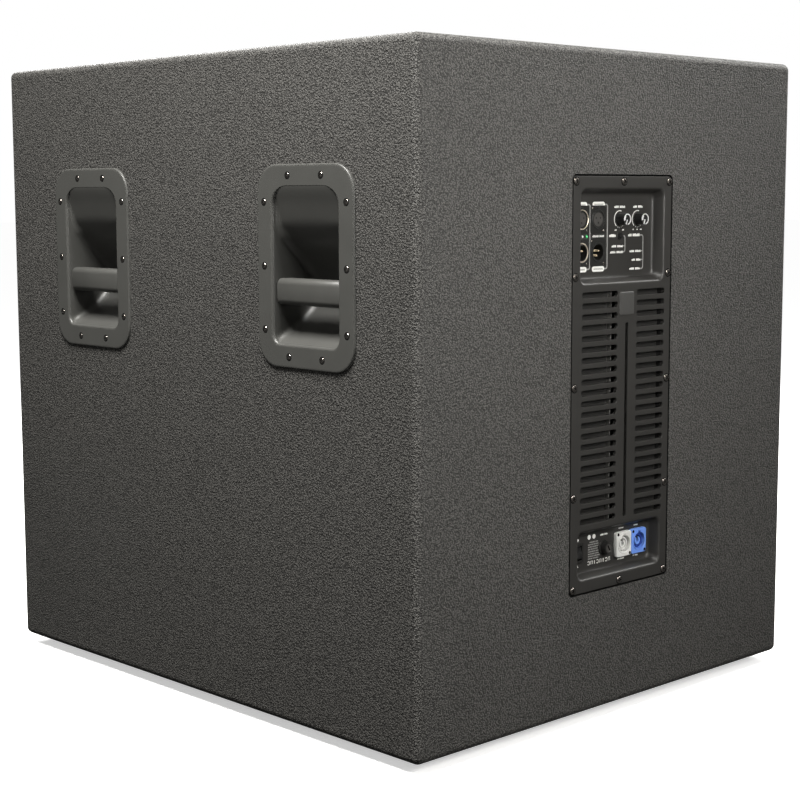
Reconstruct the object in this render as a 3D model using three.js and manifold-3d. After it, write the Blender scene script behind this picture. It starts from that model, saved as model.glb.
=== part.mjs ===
// Powered loudspeaker subwoofer: coated plywood cabinet with four recessed
// bar handles, an 18-inch driver behind a steel grille and a rear amplifier
// module with recessed control and mains bays.  Millimetres, +Z up, the grille
// faces -Y, the amplifier faces +Y.  Origin: centre of the bounding box in X
// and Y, at the soles of the rubber feet in Z.
import * as THREE from 'three';
import { mergeVertices } from 'three/addons/utils/BufferGeometryUtils.js';
import Module from 'manifold-3d';

const wasm = await Module();
wasm.setup();

// ---------------------------------------------------------------- dimensions
const CAB_W = 610, CAB_D = 712, CAB_H = 700;      // cabinet outside
const FOOT_H = 10;                                // rubber foot height
const WALL = 18;                                  // plywood thickness
const EDGE_R = 8;                                 // outer edge rounding
const GAP = 0.3;                                  // clearance between touching pieces
const HEAD_PROUD = 1.2;                           // panel screw heads beyond the rear face

const Y1 = CAB_D / 2 - HEAD_PROUD / 2;            // rear face
const Y0 = Y1 - CAB_D;                            // front edge
const X1 = CAB_W / 2, Z0 = FOOT_H, Z1 = FOOT_H + CAB_H;

// front
const BAFFLE_SETBACK = 36, BAFFLE_T = 24;
const BF = Y0 + BAFFLE_SETBACK;                   // baffle front face
const BR = BF + BAFFLE_T;                         // baffle rear face
const GRILLE_T = 1.6, GRILLE_IN = 1.5;            // sheet thickness, set in from the edge
const PORT_H = 88, PORT_SIDE = 14;                // slot port opening in the baffle
const SHELF_T = 18, SHELF_D = 400;

// driver, axis along Y
const WZ = Z0 + WALL + PORT_H + SHELF_T + 278;    // driver centre height
const W_FRAME_R = 231, W_CUT_R = 212;
const COIL_R = 50;
const W_SEG = 20;
const TRAVEL = 10;                                // cone travel each way

// handles, centre positions on the side panels
const H_Y = [197.4, -182.2], H_Z = 488.3;
const H_W = 148, H_H = 206, H_R = 29, H_PROUD = 3;
const HO_W = 100, HO_H = 160, HO_R = 14;          // hand opening
const H_DEEP = 59, H_SKIN = 3;                    // pocket depth below the side face, wall
const BAR_Z = 462.5, BAR_H = 27, BAR_T = 20, BAR_IN = 5;

// amplifier panel
const A_W = 163, A_Z0 = 142, A_Z1 = 579, A_T = 4, A_R = 4;
const REC_D = 13;                                 // bay floor below the panel face
const CTL = { x: 68.5, z0: 468.6, z1: 565 };
const MNS = { x: 68.5, z0: 156, z1: 206.5 };
const BAY_SKIN = 2.2;
const DRAFT = 4;                                  // bay walls lean in by this much
const SLOT_N = 22, SLOT_P = 11.35, SLOT_H = 6, SLOT_ZTOP = 456.2;
const SLOT_L = [66.5, 8], SLOT_RR = [-23.5, -71.5];
const SCREW_X = 77.2, SCREW_Z = [573.6, 475.5, 360.5, 244.8, 146.7];
const FLOOR_Y = Y1 - REC_D;                       // bay floor face
const FLOOR_T = 3;
const PANEL_SCREWS = SCREW_Z.flatMap((z, i) => (i === 0 || i === 4 ? [1, 0, -1] : [1, -1]).map((k) => [k * SCREW_X, z]));

// ---------------------------------------------------------------- helpers
function solid(geo) {
  const g = geo.clone();
  for (const k of Object.keys(g.attributes)) if (k !== 'position') g.deleteAttribute(k);
  const m = mergeVertices(g, 1e-4);
  let idx = Array.from(m.index.array);
  const p = m.attributes.position.array;
  const keep = [];
  for (let i = 0; i < idx.length; i += 3) {
    const [a, b, c] = [idx[i], idx[i + 1], idx[i + 2]];
    if (a !== b && b !== c && a !== c) keep.push(a, b, c);
  }
  idx = keep;
  let vol = 0;
  for (let i = 0; i < idx.length; i += 3) {
    const A = idx[i] * 3, B = idx[i + 1] * 3, C = idx[i + 2] * 3;
    vol += p[A] * (p[B + 1] * p[C + 2] - p[B + 2] * p[C + 1])
      - p[A + 1] * (p[B] * p[C + 2] - p[B + 2] * p[C])
      + p[A + 2] * (p[B] * p[C + 1] - p[B + 1] * p[C]);
  }
  if (vol < 0) for (let i = 0; i < idx.length; i += 3) [idx[i], idx[i + 1]] = [idx[i + 1], idx[i]];
  return new wasm.Manifold(new wasm.Mesh({
    numProp: 3, vertProperties: new Float32Array(p), triVerts: new Uint32Array(idx),
  }));
}
function geometry(man) {
  const mesh = man.getMesh();
  const g = new THREE.BufferGeometry();
  g.setAttribute('position', new THREE.BufferAttribute(new Float32Array(mesh.vertProperties), 3));
  g.setIndex(new THREE.BufferAttribute(new Uint32Array(mesh.triVerts), 1));
  g.computeVertexNormals();
  return g;
}
const cut = (a, ...b) => b.reduce((s, t) => s.subtract(t), a);
const join = (a, ...b) => b.reduce((s, t) => s.add(t), a);

function box(x0, x1, y0, y1, z0, z1) {
  const g = new THREE.BoxGeometry(x1 - x0, y1 - y0, z1 - z0);
  g.translate((x0 + x1) / 2, (y0 + y1) / 2, (z0 + z1) / 2);
  return solid(g);
}
function roundRect(u0, u1, v0, v1, r) {
  const s = new THREE.Shape();
  s.moveTo(u0 + r, v0);
  s.lineTo(u1 - r, v0); s.absarc(u1 - r, v0 + r, r, -Math.PI / 2, 0, false);
  s.lineTo(u1, v1 - r); s.absarc(u1 - r, v1 - r, r, 0, Math.PI / 2, false);
  s.lineTo(u0 + r, v1); s.absarc(u0 + r, v1 - r, r, Math.PI / 2, Math.PI, false);
  s.lineTo(u0, v0 + r); s.absarc(u0 + r, v0 + r, r, Math.PI, Math.PI * 1.5, false);
  return s;
}
function extrude(shape, depth, seg = 5) {
  return new THREE.ExtrudeGeometry(shape, { depth, bevelEnabled: false, curveSegments: seg });
}
const basis = (x, y, z, o) => new THREE.Matrix4().makeBasis(
  new THREE.Vector3(...x), new THREE.Vector3(...y), new THREE.Vector3(...z)).setPosition(...o);
// shape in (x, z), pushed from y = top towards -Y
const alongY = (shape, top, depth, seg) =>
  solid(extrude(shape, depth, seg).applyMatrix4(basis([1, 0, 0], [0, 0, 1], [0, -1, 0], [0, top, 0])));
// shape in (y, z), pushed from x = x0 towards +X
const alongX = (shape, x0, depth, seg) =>
  solid(extrude(shape, depth, seg).applyMatrix4(basis([0, 1, 0], [0, 0, 1], [1, 0, 0], [x0, 0, 0])));
// shape in (x, y), pushed from z = z0 towards +Z
const alongZ = (shape, z0, depth, seg) => solid(extrude(shape, depth, seg).translate(0, 0, z0));
function circle(cx, cy, r) { const s = new THREE.Shape(); s.absarc(cx, cy, r, 0, Math.PI * 2, false); return s; }
// round rod along Y from ya to yb
function rodY(x, z, r, ya, yb, seg = 16) {
  const g = new THREE.CylinderGeometry(r, r, Math.abs(yb - ya), seg);
  g.translate(x, (ya + yb) / 2, z);
  return solid(g);
}
function rodZ(x, y, r, za, zb, seg = 20) {
  const g = new THREE.CylinderGeometry(r, r, Math.abs(zb - za), seg);
  g.rotateX(Math.PI / 2); g.translate(x, y, (za + zb) / 2);
  return solid(g);
}
// turned profile of [radius, y] points about an axis parallel to Y
function turnY(pts, x, z, seg = 32) {
  const g = new THREE.LatheGeometry(pts.map(([r, y]) => new THREE.Vector2(r, y)), seg);
  g.translate(x, 0, z);
  return solid(g);
}
function turnZ(pts, x, y, seg = 24) {
  const g = new THREE.LatheGeometry(pts.map(([r, h]) => new THREE.Vector2(r, h)), seg);
  g.rotateX(Math.PI / 2); g.translate(x, y, 0);
  return solid(g);
}
// lofted block between two rounded rectangles in (x, z) at two y levels
function taperY(x0, x1, z0, z1, r, yTop, depth, lean, seg = 4) {
  const g = extrude(roundRect(x0, x1, z0, z1, r), depth, seg);
  const p = g.attributes.position;
  const cx = (x0 + x1) / 2, cz = (z0 + z1) / 2;
  for (let i = 0; i < p.count; i++) {
    if (p.getZ(i) > depth / 2) {
      p.setX(i, cx + (p.getX(i) - cx) * (1 - 2 * lean / (x1 - x0)));
      p.setY(i, cz + (p.getY(i) - cz) * (1 - 2 * lean / (z1 - z0)));
    }
  }
  return solid(g.applyMatrix4(basis([1, 0, 0], [0, 0, 1], [0, -1, 0], [0, yTop, 0])));
}

// ---------------------------------------------------------------- materials
const M = (color, roughness, metalness) => new THREE.MeshStandardMaterial({ color, roughness, metalness });
const mat = {
  coat: M(0x2b2a28, 0.85, 0), wood: M(0x8d6f4a, 0.8, 0), abs: M(0x3a3a38, 0.55, 0),
  panel: M(0x262524, 0.5, 0.2), steel: M(0x8a8a88, 0.4, 0.9), dark: M(0x151515, 0.5, 0.3),
  rubber: M(0x1a1a1a, 0.9, 0), screw: M(0x9c9488, 0.3, 1), alu: M(0xa8a8a6, 0.45, 0.9),
  white: M(0xd8d8d2, 0.4, 0), blue: M(0x2f5fc4, 0.4, 0), paper: M(0x1d1c1b, 0.9, 0),
  cloth: M(0xb07a3a, 0.9, 0), ferrite: M(0x202022, 0.6, 0.2), pcb: M(0x1f4a2c, 0.6, 0),
  green: M(0x38d060, 0.3, 0), copper: M(0xb06a38, 0.4, 0.8), cast: M(0x4a4a4c, 0.5, 0.8),
};
const root = new THREE.Group();
function add(name, man, material) {
  const mesh = new THREE.Mesh(geometry(man), material);
  mesh.name = name;
  root.add(mesh);
  return mesh;
}

// ---------------------------------------------------------------- cabinet
const outer = alongZ(roundRect(-X1, X1, Y0, Y1, EDGE_R), Z0, CAB_H, 2)
  .intersect(alongX(roundRect(Y0, Y1, Z0, Z1, EDGE_R), -X1 - 1, CAB_W + 2, 2))
  .intersect(alongY(roundRect(-X1, X1, Z0, Z1, EDGE_R), Y1 + 1, CAB_D + 2, 2));
const xi = X1 - WALL, zi0 = Z0 + WALL, zi1 = Z1 - WALL;

function handleHole(side, y) {
  const s = roundRect(y - HO_W / 2 - H_SKIN - 1, y + HO_W / 2 + H_SKIN + 1,
    H_Z + 1.5 - HO_H / 2 - H_SKIN - 1, H_Z + 1.5 + HO_H / 2 + H_SKIN + 1, HO_R + H_SKIN);
  return alongX(s, side > 0 ? xi - 5 : -X1 - 5, WALL + 10, 3);
}
for (const [name, side] of [['side_panel_right', 1], ['side_panel_left', -1]]) {
  const slab = side > 0 ? box(xi, X1 + 5, Y0 - 5, Y1 + 5, Z0 - 5, Z1 + 5)
    : box(-X1 - 5, -xi, Y0 - 5, Y1 + 5, Z0 - 5, Z1 + 5);
  add(name, cut(outer.intersect(slab), ...H_Y.map((y) => handleHole(side, y))), mat.coat);
}
const POLE_R = 19;
const topSlab = box(-xi + GAP, xi - GAP, Y0 - 5, Y1 + 5, zi1, Z1 + 5);
add('top_panel', cut(outer.intersect(topSlab),
  rodZ(0, 0, POLE_R + 3, zi1 - 5, Z1 + 5, 16), rodZ(0, 0, 42.5, Z1 - 2.8, Z1 + 5, 20)), mat.coat);
add('bottom_panel', outer.intersect(box(-xi + GAP, xi - GAP, Y0 - 5, Y1 + 5, Z0 - 5, zi0)), mat.coat);

// rear panel with the stepped opening for the amplifier
const POCKET = 2;
const rearSlab = box(-xi + GAP, xi - GAP, Y1 - WALL, Y1, zi0 + GAP, zi1 - GAP);
add('rear_panel', cut(rearSlab,
  alongY(roundRect(-A_W / 2 - POCKET, A_W / 2 + POCKET, A_Z0 - POCKET, A_Z1 + POCKET, A_R + POCKET), Y1 + 1, 1 + A_T + GAP, 3),
  box(-73.2, 73.2, Y1 - WALL - 5, Y1 + 5, A_Z0 + 9.3, A_Z1 - 9.3),
  ...PANEL_SCREWS.map(([x, z]) => rodY(x, z, 2.3, Y1 - 15, Y1 + 1, 6)),
), mat.coat);

// baffle with driver cut-out and slot port
add('front_baffle', cut(
  box(-xi + GAP, xi - GAP, BF, BR, zi0 + GAP, zi1 - GAP),
  rodY(0, WZ, W_CUT_R, BF - 5, BR + 5, 36),
  alongY(roundRect(-xi + PORT_SIDE, xi - PORT_SIDE, zi0 + 8, zi0 + PORT_H, 10), BR + 5, BAFFLE_T + 10, 3),
), mat.dark);
add('port_shelf', box(-xi + GAP, xi - GAP, BR + GAP, BR + SHELF_D, zi0 + PORT_H + 4, zi0 + PORT_H + 4 + SHELF_T), mat.wood);

// grille: folded steel pan inside the front edge
const gx = xi - 2, gz0 = zi0 + 2, gz1 = zi1 - 2, gy = Y0 + GRILLE_IN;
add('front_grille', cut(
  alongY(roundRect(-gx, gx, gz0, gz1, 5), gy + 16, 16, 3),
  alongY(roundRect(-gx + GRILLE_T, gx - GRILLE_T, gz0 + GRILLE_T, gz1 - GRILLE_T, 4), gy + 20, 20 - GRILLE_T, 3),
), mat.dark);

// feet
let n = 0;
for (const [x, y] of [[235, 285], [-235, 285], [235, -285], [-235, -285]]) {
  n += 1;
  add(`rubber_foot_${n}`, turnZ([[0, 0], [17, 0], [19, 1.2], [20, FOOT_H - GAP], [0, FOOT_H - GAP]], x, y, 12), mat.rubber);
}

// pole socket: flanged steel cup in the top panel
add('pole_socket', turnZ([
  [0, Z1 - 85], [POLE_R + 2, Z1 - 85], [POLE_R + 2, Z1 - 2.5], [41.5, Z1 - 2.5], [41.5, Z1 - 0.4], [41, Z1],
  [POLE_R - 1.5, Z1], [POLE_R - 1.5, Z1 - 82], [0, Z1 - 82],
], 0, 0, 20), mat.dark);

// ---------------------------------------------------------------- handles
// built on the +X side about y = 0, then turned for the other side
const hz0 = H_Z + 1.5 - HO_H / 2, hz1 = H_Z + 1.5 + HO_H / 2;
// depth below the side face against height: a rolled upper surface, deepest
// behind the bar, and a sloping floor
const PROFILE = [[0, 569.5], [2, 553], [7.3, 531], [18.5, 513.4], [31.9, 501.4], [43.4, 490.7], [H_DEEP, 470.8],
  [H_DEEP + 1, 456], [48.7, 442], [40.8, 434.2], [28.9, 424.4], [15.3, 417.7], [3.7, 412.5], [0, 410]];
function sweep(o) {                     // side profile of the pocket in (x, z), grown outwards by o
  const pts = PROFILE.map(([d, z], i) => {
    const p = PROFILE[Math.max(i - 1, 0)], q = PROFILE[Math.min(i + 1, PROFILE.length - 1)];
    const [tx, tz] = [q[0] - p[0], q[1] - p[1]], l = Math.hypot(tx, tz);
    return new THREE.Vector2(X1 - d + (o * tz) / l, z + (o * tx) / l);
  });
  const s = new THREE.Shape();
  s.moveTo(X1 + 20, pts[pts.length - 1].y - (o ? 2 : 0));
  for (let i = pts.length - 1; i >= 0; i--) s.lineTo(pts[i].x, pts[i].y);
  s.lineTo(X1 + 20, pts[0].y + (o ? 2 : 0));
  s.closePath();
  return s;
}
function dish() {
  const flange = alongX(roundRect(-H_W / 2, H_W / 2, H_Z - H_H / 2, H_Z + H_H / 2, H_R), X1 + GAP, H_PROUD - GAP, 4);
  const w = HO_W / 2;
  const pocketOut = alongY(sweep(H_SKIN), w + H_SKIN, 2 * (w + H_SKIN), 4)
    .intersect(alongX(roundRect(-w - H_SKIN, w + H_SKIN, hz0 - H_SKIN, hz1 + H_SKIN, HO_R + H_SKIN), X1 - 90, 90 + H_PROUD, 2));
  const pocketIn = alongY(sweep(0), w, 2 * w, 4)
    .intersect(alongX(roundRect(-w, w, hz0, hz1, HO_R), X1 - 90, 120, 2));
  const bx = X1 - BAR_IN, bar = alongY(roundRect(bx - BAR_T, bx, BAR_Z - BAR_H / 2, BAR_Z + BAR_H / 2, 7), w + 1.5, 2 * w + 3, 3);
  return cut(flange.add(pocketOut), pocketIn).add(bar);
}
const dishBase = dish();
n = 0;
for (const side of [1, -1]) {
  for (const y of H_Y) {
    n += 1;
    const m = side > 0 ? dishBase : dishBase.rotate([0, 0, 180]);
    add(`handle_${n}`, m.translate([0, y, 0]), mat.abs);
  }
}

// ---------------------------------------------------------------- driver
add('woofer_basket', cut(
  turnY([
    [W_FRAME_R, BF - GAP], [W_FRAME_R, BF - 7], [W_FRAME_R - 3, BF - 9], [208, BF - 9], [204, BF - 4], [196, BF - 2], [196, BF + 12],
    [168, BF + 52], [112, BF + 92], [92, BF + 94], [92, BF + 128], [56, BF + 128],
    [56, BF + 134], [104, BF + 134], [104, BF + 100], [118, BF + 99],
    [174, BF + 58], [202, BF + 20], [W_CUT_R - 1, BF + 16], [W_CUT_R - 1, BF - GAP], [W_FRAME_R, BF - GAP],
  ], 0, WZ, W_SEG),
  ...[0, 1, 2, 3, 4, 5, 6, 7].map((k) => {
    const g = new THREE.BoxGeometry(56, 70, 90);
    g.translate(0, BF + 58, 168);
    g.rotateY(Math.PI / 4 * k + Math.PI / 8);
    g.translate(0, 0, WZ);
    return solid(g);
  }),
), mat.cast);
add('woofer_surround', turnY([
  [206, BF - 10.4], [195, BF - 10.4], [188, BF - 17], [175, BF - 17], [168, BF - 10], [160, BF - 6.4],
  [160, BF - 5.2], [169, BF - 8.6], [176, BF - 15], [187, BF - 15], [195, BF - 9.3], [206, BF - 9.3], [206, BF - 10.4],
], 0, WZ, W_SEG), mat.rubber);
add('woofer_cone', turnY([
  [167, BF - 7.6], [158, BF - 4.2], [110, BF + 34], [COIL_R + 1.2, BF + 76], [COIL_R + 1.2, BF + 80],
  [112, BF + 37], [159, BF + 0.2], [167, BF - 3.4], [167, BF - 7.6],
], 0, WZ, W_SEG), mat.paper);
add('woofer_dust_cap', turnY([
  [0, BF + 22], [30, BF + 26], [54, BF + 37], [72, BF + 55], [72.8, BF + 56.4], [71, BF + 57.6],
  [53, BF + 40], [30, BF + 29], [0, BF + 25],
], 0, WZ, W_SEG), mat.paper);
add('woofer_voice_coil', turnY([
  [COIL_R - 0.6, BF + 72], [COIL_R + 0.6, BF + 72], [COIL_R + 0.6, BF + 148], [COIL_R - 0.6, BF + 148], [COIL_R - 0.6, BF + 72],
], 0, WZ, W_SEG), mat.copper);
add('woofer_spider', turnY([
  [COIL_R + 1, BF + 106], [64, BF + 108.6], [78, BF + 106], [91.4, BF + 106],
  [91.4, BF + 107.2], [78, BF + 107.2], [64, BF + 109.8], [COIL_R + 1, BF + 107.2], [COIL_R + 1, BF + 106],
], 0, WZ, W_SEG), mat.cloth);
add('woofer_top_plate', turnY([
  [53, BF + 134.3], [92, BF + 134.3], [92, BF + 144.3], [53, BF + 144.3], [53, BF + 134.3],
], 0, WZ, W_SEG), mat.steel);
add('woofer_magnet', turnY([
  [60, BF + 144.6], [104, BF + 144.6], [104, BF + 166.6], [60, BF + 166.6], [60, BF + 144.6],
], 0, WZ, W_SEG), mat.ferrite);
add('woofer_pole_plate', turnY([
  [0, BF + 134.3], [46.5, BF + 134.3], [47.5, BF + 136], [47.5, BF + 166.9], [92, BF + 166.9], [94, BF + 168.9], [94, BF + 177], [0, BF + 177],
], 0, WZ, W_SEG), mat.steel);

// ---------------------------------------------------------------- amplifier module
const AX = { xlr: [54, 27], xlrZ: [534.1, 499.8], dial: [-9, -39], dialZ: 534.0,
  phase: [-9.4, 516.4], led: [45, 516.4], link: [-18.4, 182.2], inlet: [-44.2, 182.2], fuse: [12, 182.5], sw: [54, 181.5] };
const bays = [CTL, MNS];
let panel = alongY(roundRect(-A_W / 2, A_W / 2, A_Z0, A_Z1, A_R), Y1, A_T, 3);
for (const b of bays) {
  panel = panel.add(taperY(-b.x - BAY_SKIN, b.x + BAY_SKIN, b.z0 - BAY_SKIN, b.z1 + BAY_SKIN, 9, Y1 - 0.5, REC_D + FLOOR_T - 0.5, DRAFT, 4));
}
for (const b of bays) {
  panel = panel.subtract(taperY(-b.x, b.x, b.z0, b.z1, 8, Y1 + 0.4, REC_D + 0.4, DRAFT, 4));
}
for (let i = 0; i < SLOT_N; i++) {
  const z = SLOT_ZTOP - i * SLOT_P;
  panel = panel.subtract(box(SLOT_L[1], SLOT_L[0], Y1 - A_T - 2, Y1 + 2, z - SLOT_H / 2, z + SLOT_H / 2));
  panel = panel.subtract(box(SLOT_RR[1], SLOT_RR[0], Y1 - A_T - 2, Y1 + 2, z - SLOT_H / 2, z + SLOT_H / 2));
}
panel = panel.subtract(box(-9.9, -5.1, Y1 - A_T - 2, Y1 + 2, 215, 425));
const drill = (x, z, r, seg = 20) => { panel = panel.subtract(rodY(x, z, r, FLOOR_Y - 8, FLOOR_Y + 2, seg)); };
for (const x of AX.xlr) for (const z of AX.xlrZ) drill(x, z, 9.8, 16);
for (const x of AX.dial) drill(x, AX.dialZ, 3.6, 12);
drill(...AX.phase, 3.1, 12);
drill(...AX.led, 1.7, 10);
drill(...AX.link, 12.3, 16); drill(...AX.inlet, 12.3, 16);
drill(...AX.fuse, 6.3, 16);
panel = panel.subtract(box(AX.sw[0] - 6.3, AX.sw[0] + 6.3, FLOOR_Y - 8, FLOOR_Y + 2, AX.sw[1] - 9.3, AX.sw[1] + 9.3));
for (const [x, z] of PANEL_SCREWS) panel = panel.subtract(rodY(x, z, 2.3, Y1 - 8, Y1 + 2, 6));
add('amp_panel', panel, mat.panel);

n = 0;
for (const [x, z] of PANEL_SCREWS) {
  n += 1;
  add(`panel_screw_${n}`, turnY([
    [0, Y1 + HEAD_PROUD], [2.6, Y1 + HEAD_PROUD - 0.2], [3.7, Y1 + 0.5], [3.8, Y1 + GAP / 3], [2, Y1 + GAP / 3],
    [2, Y1 - 13], [0, Y1 - 13],
  ], x, z, 6), mat.screw);
}

// chassis box behind the panel, open towards it
const CH = { x: 72.7, z0: A_Z0 + 9.8, z1: A_Z1 - 9.8, y0: 232, y1: Y1 - A_T - GAP };
add('amp_chassis', cut(
  box(-CH.x, CH.x, CH.y0, CH.y1, CH.z0, CH.z1),
  box(-CH.x + 1.5, CH.x - 1.5, CH.y0 + 1.5, CH.y1 + 5, CH.z0 + 1.5, CH.z1 - 1.5),
), mat.steel);

// finned heat sink behind the louvres
let sink = box(-64, 62, 300, 306, 214, 460);
for (let i = 0; i < 12; i++) {
  const x = -62 + i * 11;
  sink = sink.add(box(x, x + 2.2, 305, 343, 214, 460));
}
add('heat_sink', sink, mat.alu);
add('amp_board', join(box(-64, 64, 284, 285.6, 214, 456),
  box(-50, -20, 262, 284.5, 236, 262), box(10, 32, 256, 284.5, 250, 272), box(34, 56, 256, 284.5, 250, 272),
  box(-48, 48, 274, 284.5, 380, 388), box(-10, 14, 270, 284.5, 300, 330)), mat.pcb);
add('power_transformer', turnY([[12, 250], [44, 250], [46, 253], [46, 292], [44, 295], [12, 295], [12, 250]], 0, 515, 16), mat.copper);

// signal sockets
function xlr(x, z, female) {
  let s = rodY(x, z, 9.4, FLOOR_Y - 20, FLOOR_Y + 1.2, 16)
    .add(rodY(x, z, 10.1, FLOOR_Y + 0.3, FLOOR_Y + 1.2, 16))
    .add(box(x - 11.5, x + 11.5, FLOOR_Y - 22, FLOOR_Y - FLOOR_T - 0.3, z - 11.5, z + 11.5));
  const mouth = FLOOR_Y + 3;
  if (female) {
    s = s.subtract(rodY(x, z, 8.9, FLOOR_Y - 11, mouth, 16).subtract(rodY(x, z, 7.6, FLOOR_Y - 12, mouth + 1, 16)));
    for (const [dx, dz] of [[3.6, 1.2], [-3.6, 1.2], [0, -3.6]]) s = s.subtract(rodY(x + dx, z + dz, 1.4, FLOOR_Y - 11, mouth, 6));
  } else {
    s = s.subtract(rodY(x, z, 8.2, FLOOR_Y - 13, mouth, 16));
    for (const [dx, dz] of [[3.6, 1.2], [-3.6, 1.2], [0, -3.6]]) s = s.add(rodY(x + dx, z + dz, 1.1, FLOOR_Y - 14, FLOOR_Y - 1, 6));
  }
  return s;
}
add('xlr_input_1', xlr(AX.xlr[1], AX.xlrZ[0], true), mat.dark);
add('xlr_link_1', xlr(AX.xlr[1], AX.xlrZ[1], false), mat.dark);
add('xlr_input_2', xlr(AX.xlr[0], AX.xlrZ[0], true), mat.dark);
add('xlr_link_2', xlr(AX.xlr[0], AX.xlrZ[1], false), mat.dark);

// mains connectors: flange, round shell, keyed core
function mains(x, z) {
  let s = alongY(roundRect(x - 12.7, x + 12.7, z - 13.75, z + 13.75, 3), FLOOR_Y + 4.6, 4.3, 3)
    .add(rodY(x, z, 11.9, FLOOR_Y - 22, FLOOR_Y + 4.5, 16));
  s = s.subtract(rodY(x, z, 10.6, FLOOR_Y - 14, FLOOR_Y + 9, 16).subtract(rodY(x, z, 5.4, FLOOR_Y - 15, FLOOR_Y + 2.5, 16)));
  for (const [dx, dz] of [[10, 11.2], [-10, -11.2]]) s = s.subtract(rodY(x + dx, z + dz, 1.3, FLOOR_Y + 2, FLOOR_Y + 9, 8));
  return s;
}
add('mains_link_outlet', mains(...AX.link), mat.white);
add('mains_inlet', mains(...AX.inlet), mat.blue);

// fuse
const [fx, fz] = AX.fuse;
add('fuse_holder', turnY([
  [0, FLOOR_Y - 26], [6.1, FLOOR_Y - 26], [6.1, FLOOR_Y + 0.3], [7.6, FLOOR_Y + 0.3], [7.6, FLOOR_Y + 2], [5.2, FLOOR_Y + 2], [5.2, FLOOR_Y - 22], [0, FLOOR_Y - 22],
], fx, fz, 20), mat.dark);
add('fuse_cap', cut(turnY([
  [0, FLOOR_Y - 20], [4.6, FLOOR_Y - 20], [4.6, FLOOR_Y + 2.4], [6.6, FLOOR_Y + 2.4], [6.4, FLOOR_Y + 8], [5.6, FLOOR_Y + 8.6], [0, FLOOR_Y + 8.6],
], fx, fz, 20), box(fx - 4.8, fx + 4.8, FLOOR_Y + 7, FLOOR_Y + 12, fz - 0.7, fz + 0.7)), mat.dark);

// rocker switch
const [sx, sz] = AX.sw, pivotY = FLOOR_Y - 2;
add('power_switch_housing', cut(
  join(alongY(roundRect(sx - 7.5, sx + 7.5, sz - 10.5, sz + 10.5, 1.5), FLOOR_Y + 2, 1.7, 3),
    box(sx - 6, sx + 6, FLOOR_Y - 20, FLOOR_Y + 0.5, sz - 9, sz + 9)),
  box(sx - 4.6, sx + 4.6, pivotY - 8.2, FLOOR_Y + 5, sz - 7.7, sz + 7.7),
), mat.dark);
{
  const s = new THREE.Shape();             // (y, z) about the pivot
  const R = 7.3, t0 = 0.42;
  s.moveTo(R * Math.cos(Math.PI / 2 - t0), R * Math.sin(Math.PI / 2 - t0));
  s.lineTo(4.4, 0.4);
  s.lineTo(5.7, -R * 0.62);
  s.absarc(0, 0, R, -0.7, -(Math.PI * 2 - (Math.PI / 2 - t0)), true);
  const g = extrude(s, 8.6, 8);
  const m = solid(g.applyMatrix4(basis([0, 1, 0], [0, 0, 1], [1, 0, 0], [sx - 4.3, pivotY, sz])));
  add('power_rocker', m, mat.dark);
}

// level and low-pass controls
for (const [name, x] of [['level', AX.dial[0]], ['lowpass', AX.dial[1]]]) {
  add(`${name}_pot`, join(
    box(x - 6, x + 6, FLOOR_Y - 14, FLOOR_Y - FLOOR_T - 0.3, AX.dialZ - 6, AX.dialZ + 6),
    rodY(x, AX.dialZ, 3.3, FLOOR_Y - 5, FLOOR_Y + 0.6, 12),
    rodY(x, AX.dialZ, 2.5, FLOOR_Y - 5, FLOOR_Y + 7, 12),
  ), mat.steel);
  add(`${name}_knob`, cut(turnY([
    [0, FLOOR_Y + 1], [6.2, FLOOR_Y + 1], [6, FLOOR_Y + 10.4], [5.4, FLOOR_Y + 11], [0, FLOOR_Y + 11],
  ], x, AX.dialZ, 20), rodY(x, AX.dialZ, 2.7, FLOOR_Y - 1, FLOOR_Y + 7.5, 12)), mat.dark);
}

// phase reverse push switch
const [px, pz] = AX.phase;
add('phase_switch', cut(join(
  box(px - 5, px + 5, FLOOR_Y - 15, FLOOR_Y - FLOOR_T - 0.3, pz - 4.6, pz + 4.6),
), box(px - 2.4, px + 2.4, FLOOR_Y - 11, FLOOR_Y, pz - 2.4, pz + 2.4)), mat.dark);
add('phase_button', join(
  rodY(px, pz, 2.7, FLOOR_Y - 1.2, FLOOR_Y + 3.4, 16),
  box(px - 1.6, px + 1.6, FLOOR_Y - 8.5, FLOOR_Y - 1, pz - 1.6, pz + 1.6),
), mat.dark);
add('status_led', join(
  rodY(AX.led[0], AX.led[1], 1.45, FLOOR_Y - 6, FLOOR_Y + 0.9, 12),
  rodY(AX.led[0], AX.led[1], 2.2, FLOOR_Y - 7, FLOOR_Y - FLOOR_T - 0.3, 12),
), mat.green);

export default root;
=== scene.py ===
"""Powered loudspeaker sub-bass cabinet, seen from its rear corner. Lengths in the tables below are millimetres."""
import math

import bmesh
import bpy
import numpy as np
from mathutils import Matrix, Vector
from mathutils.geometry import tessellate_polygon


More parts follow.
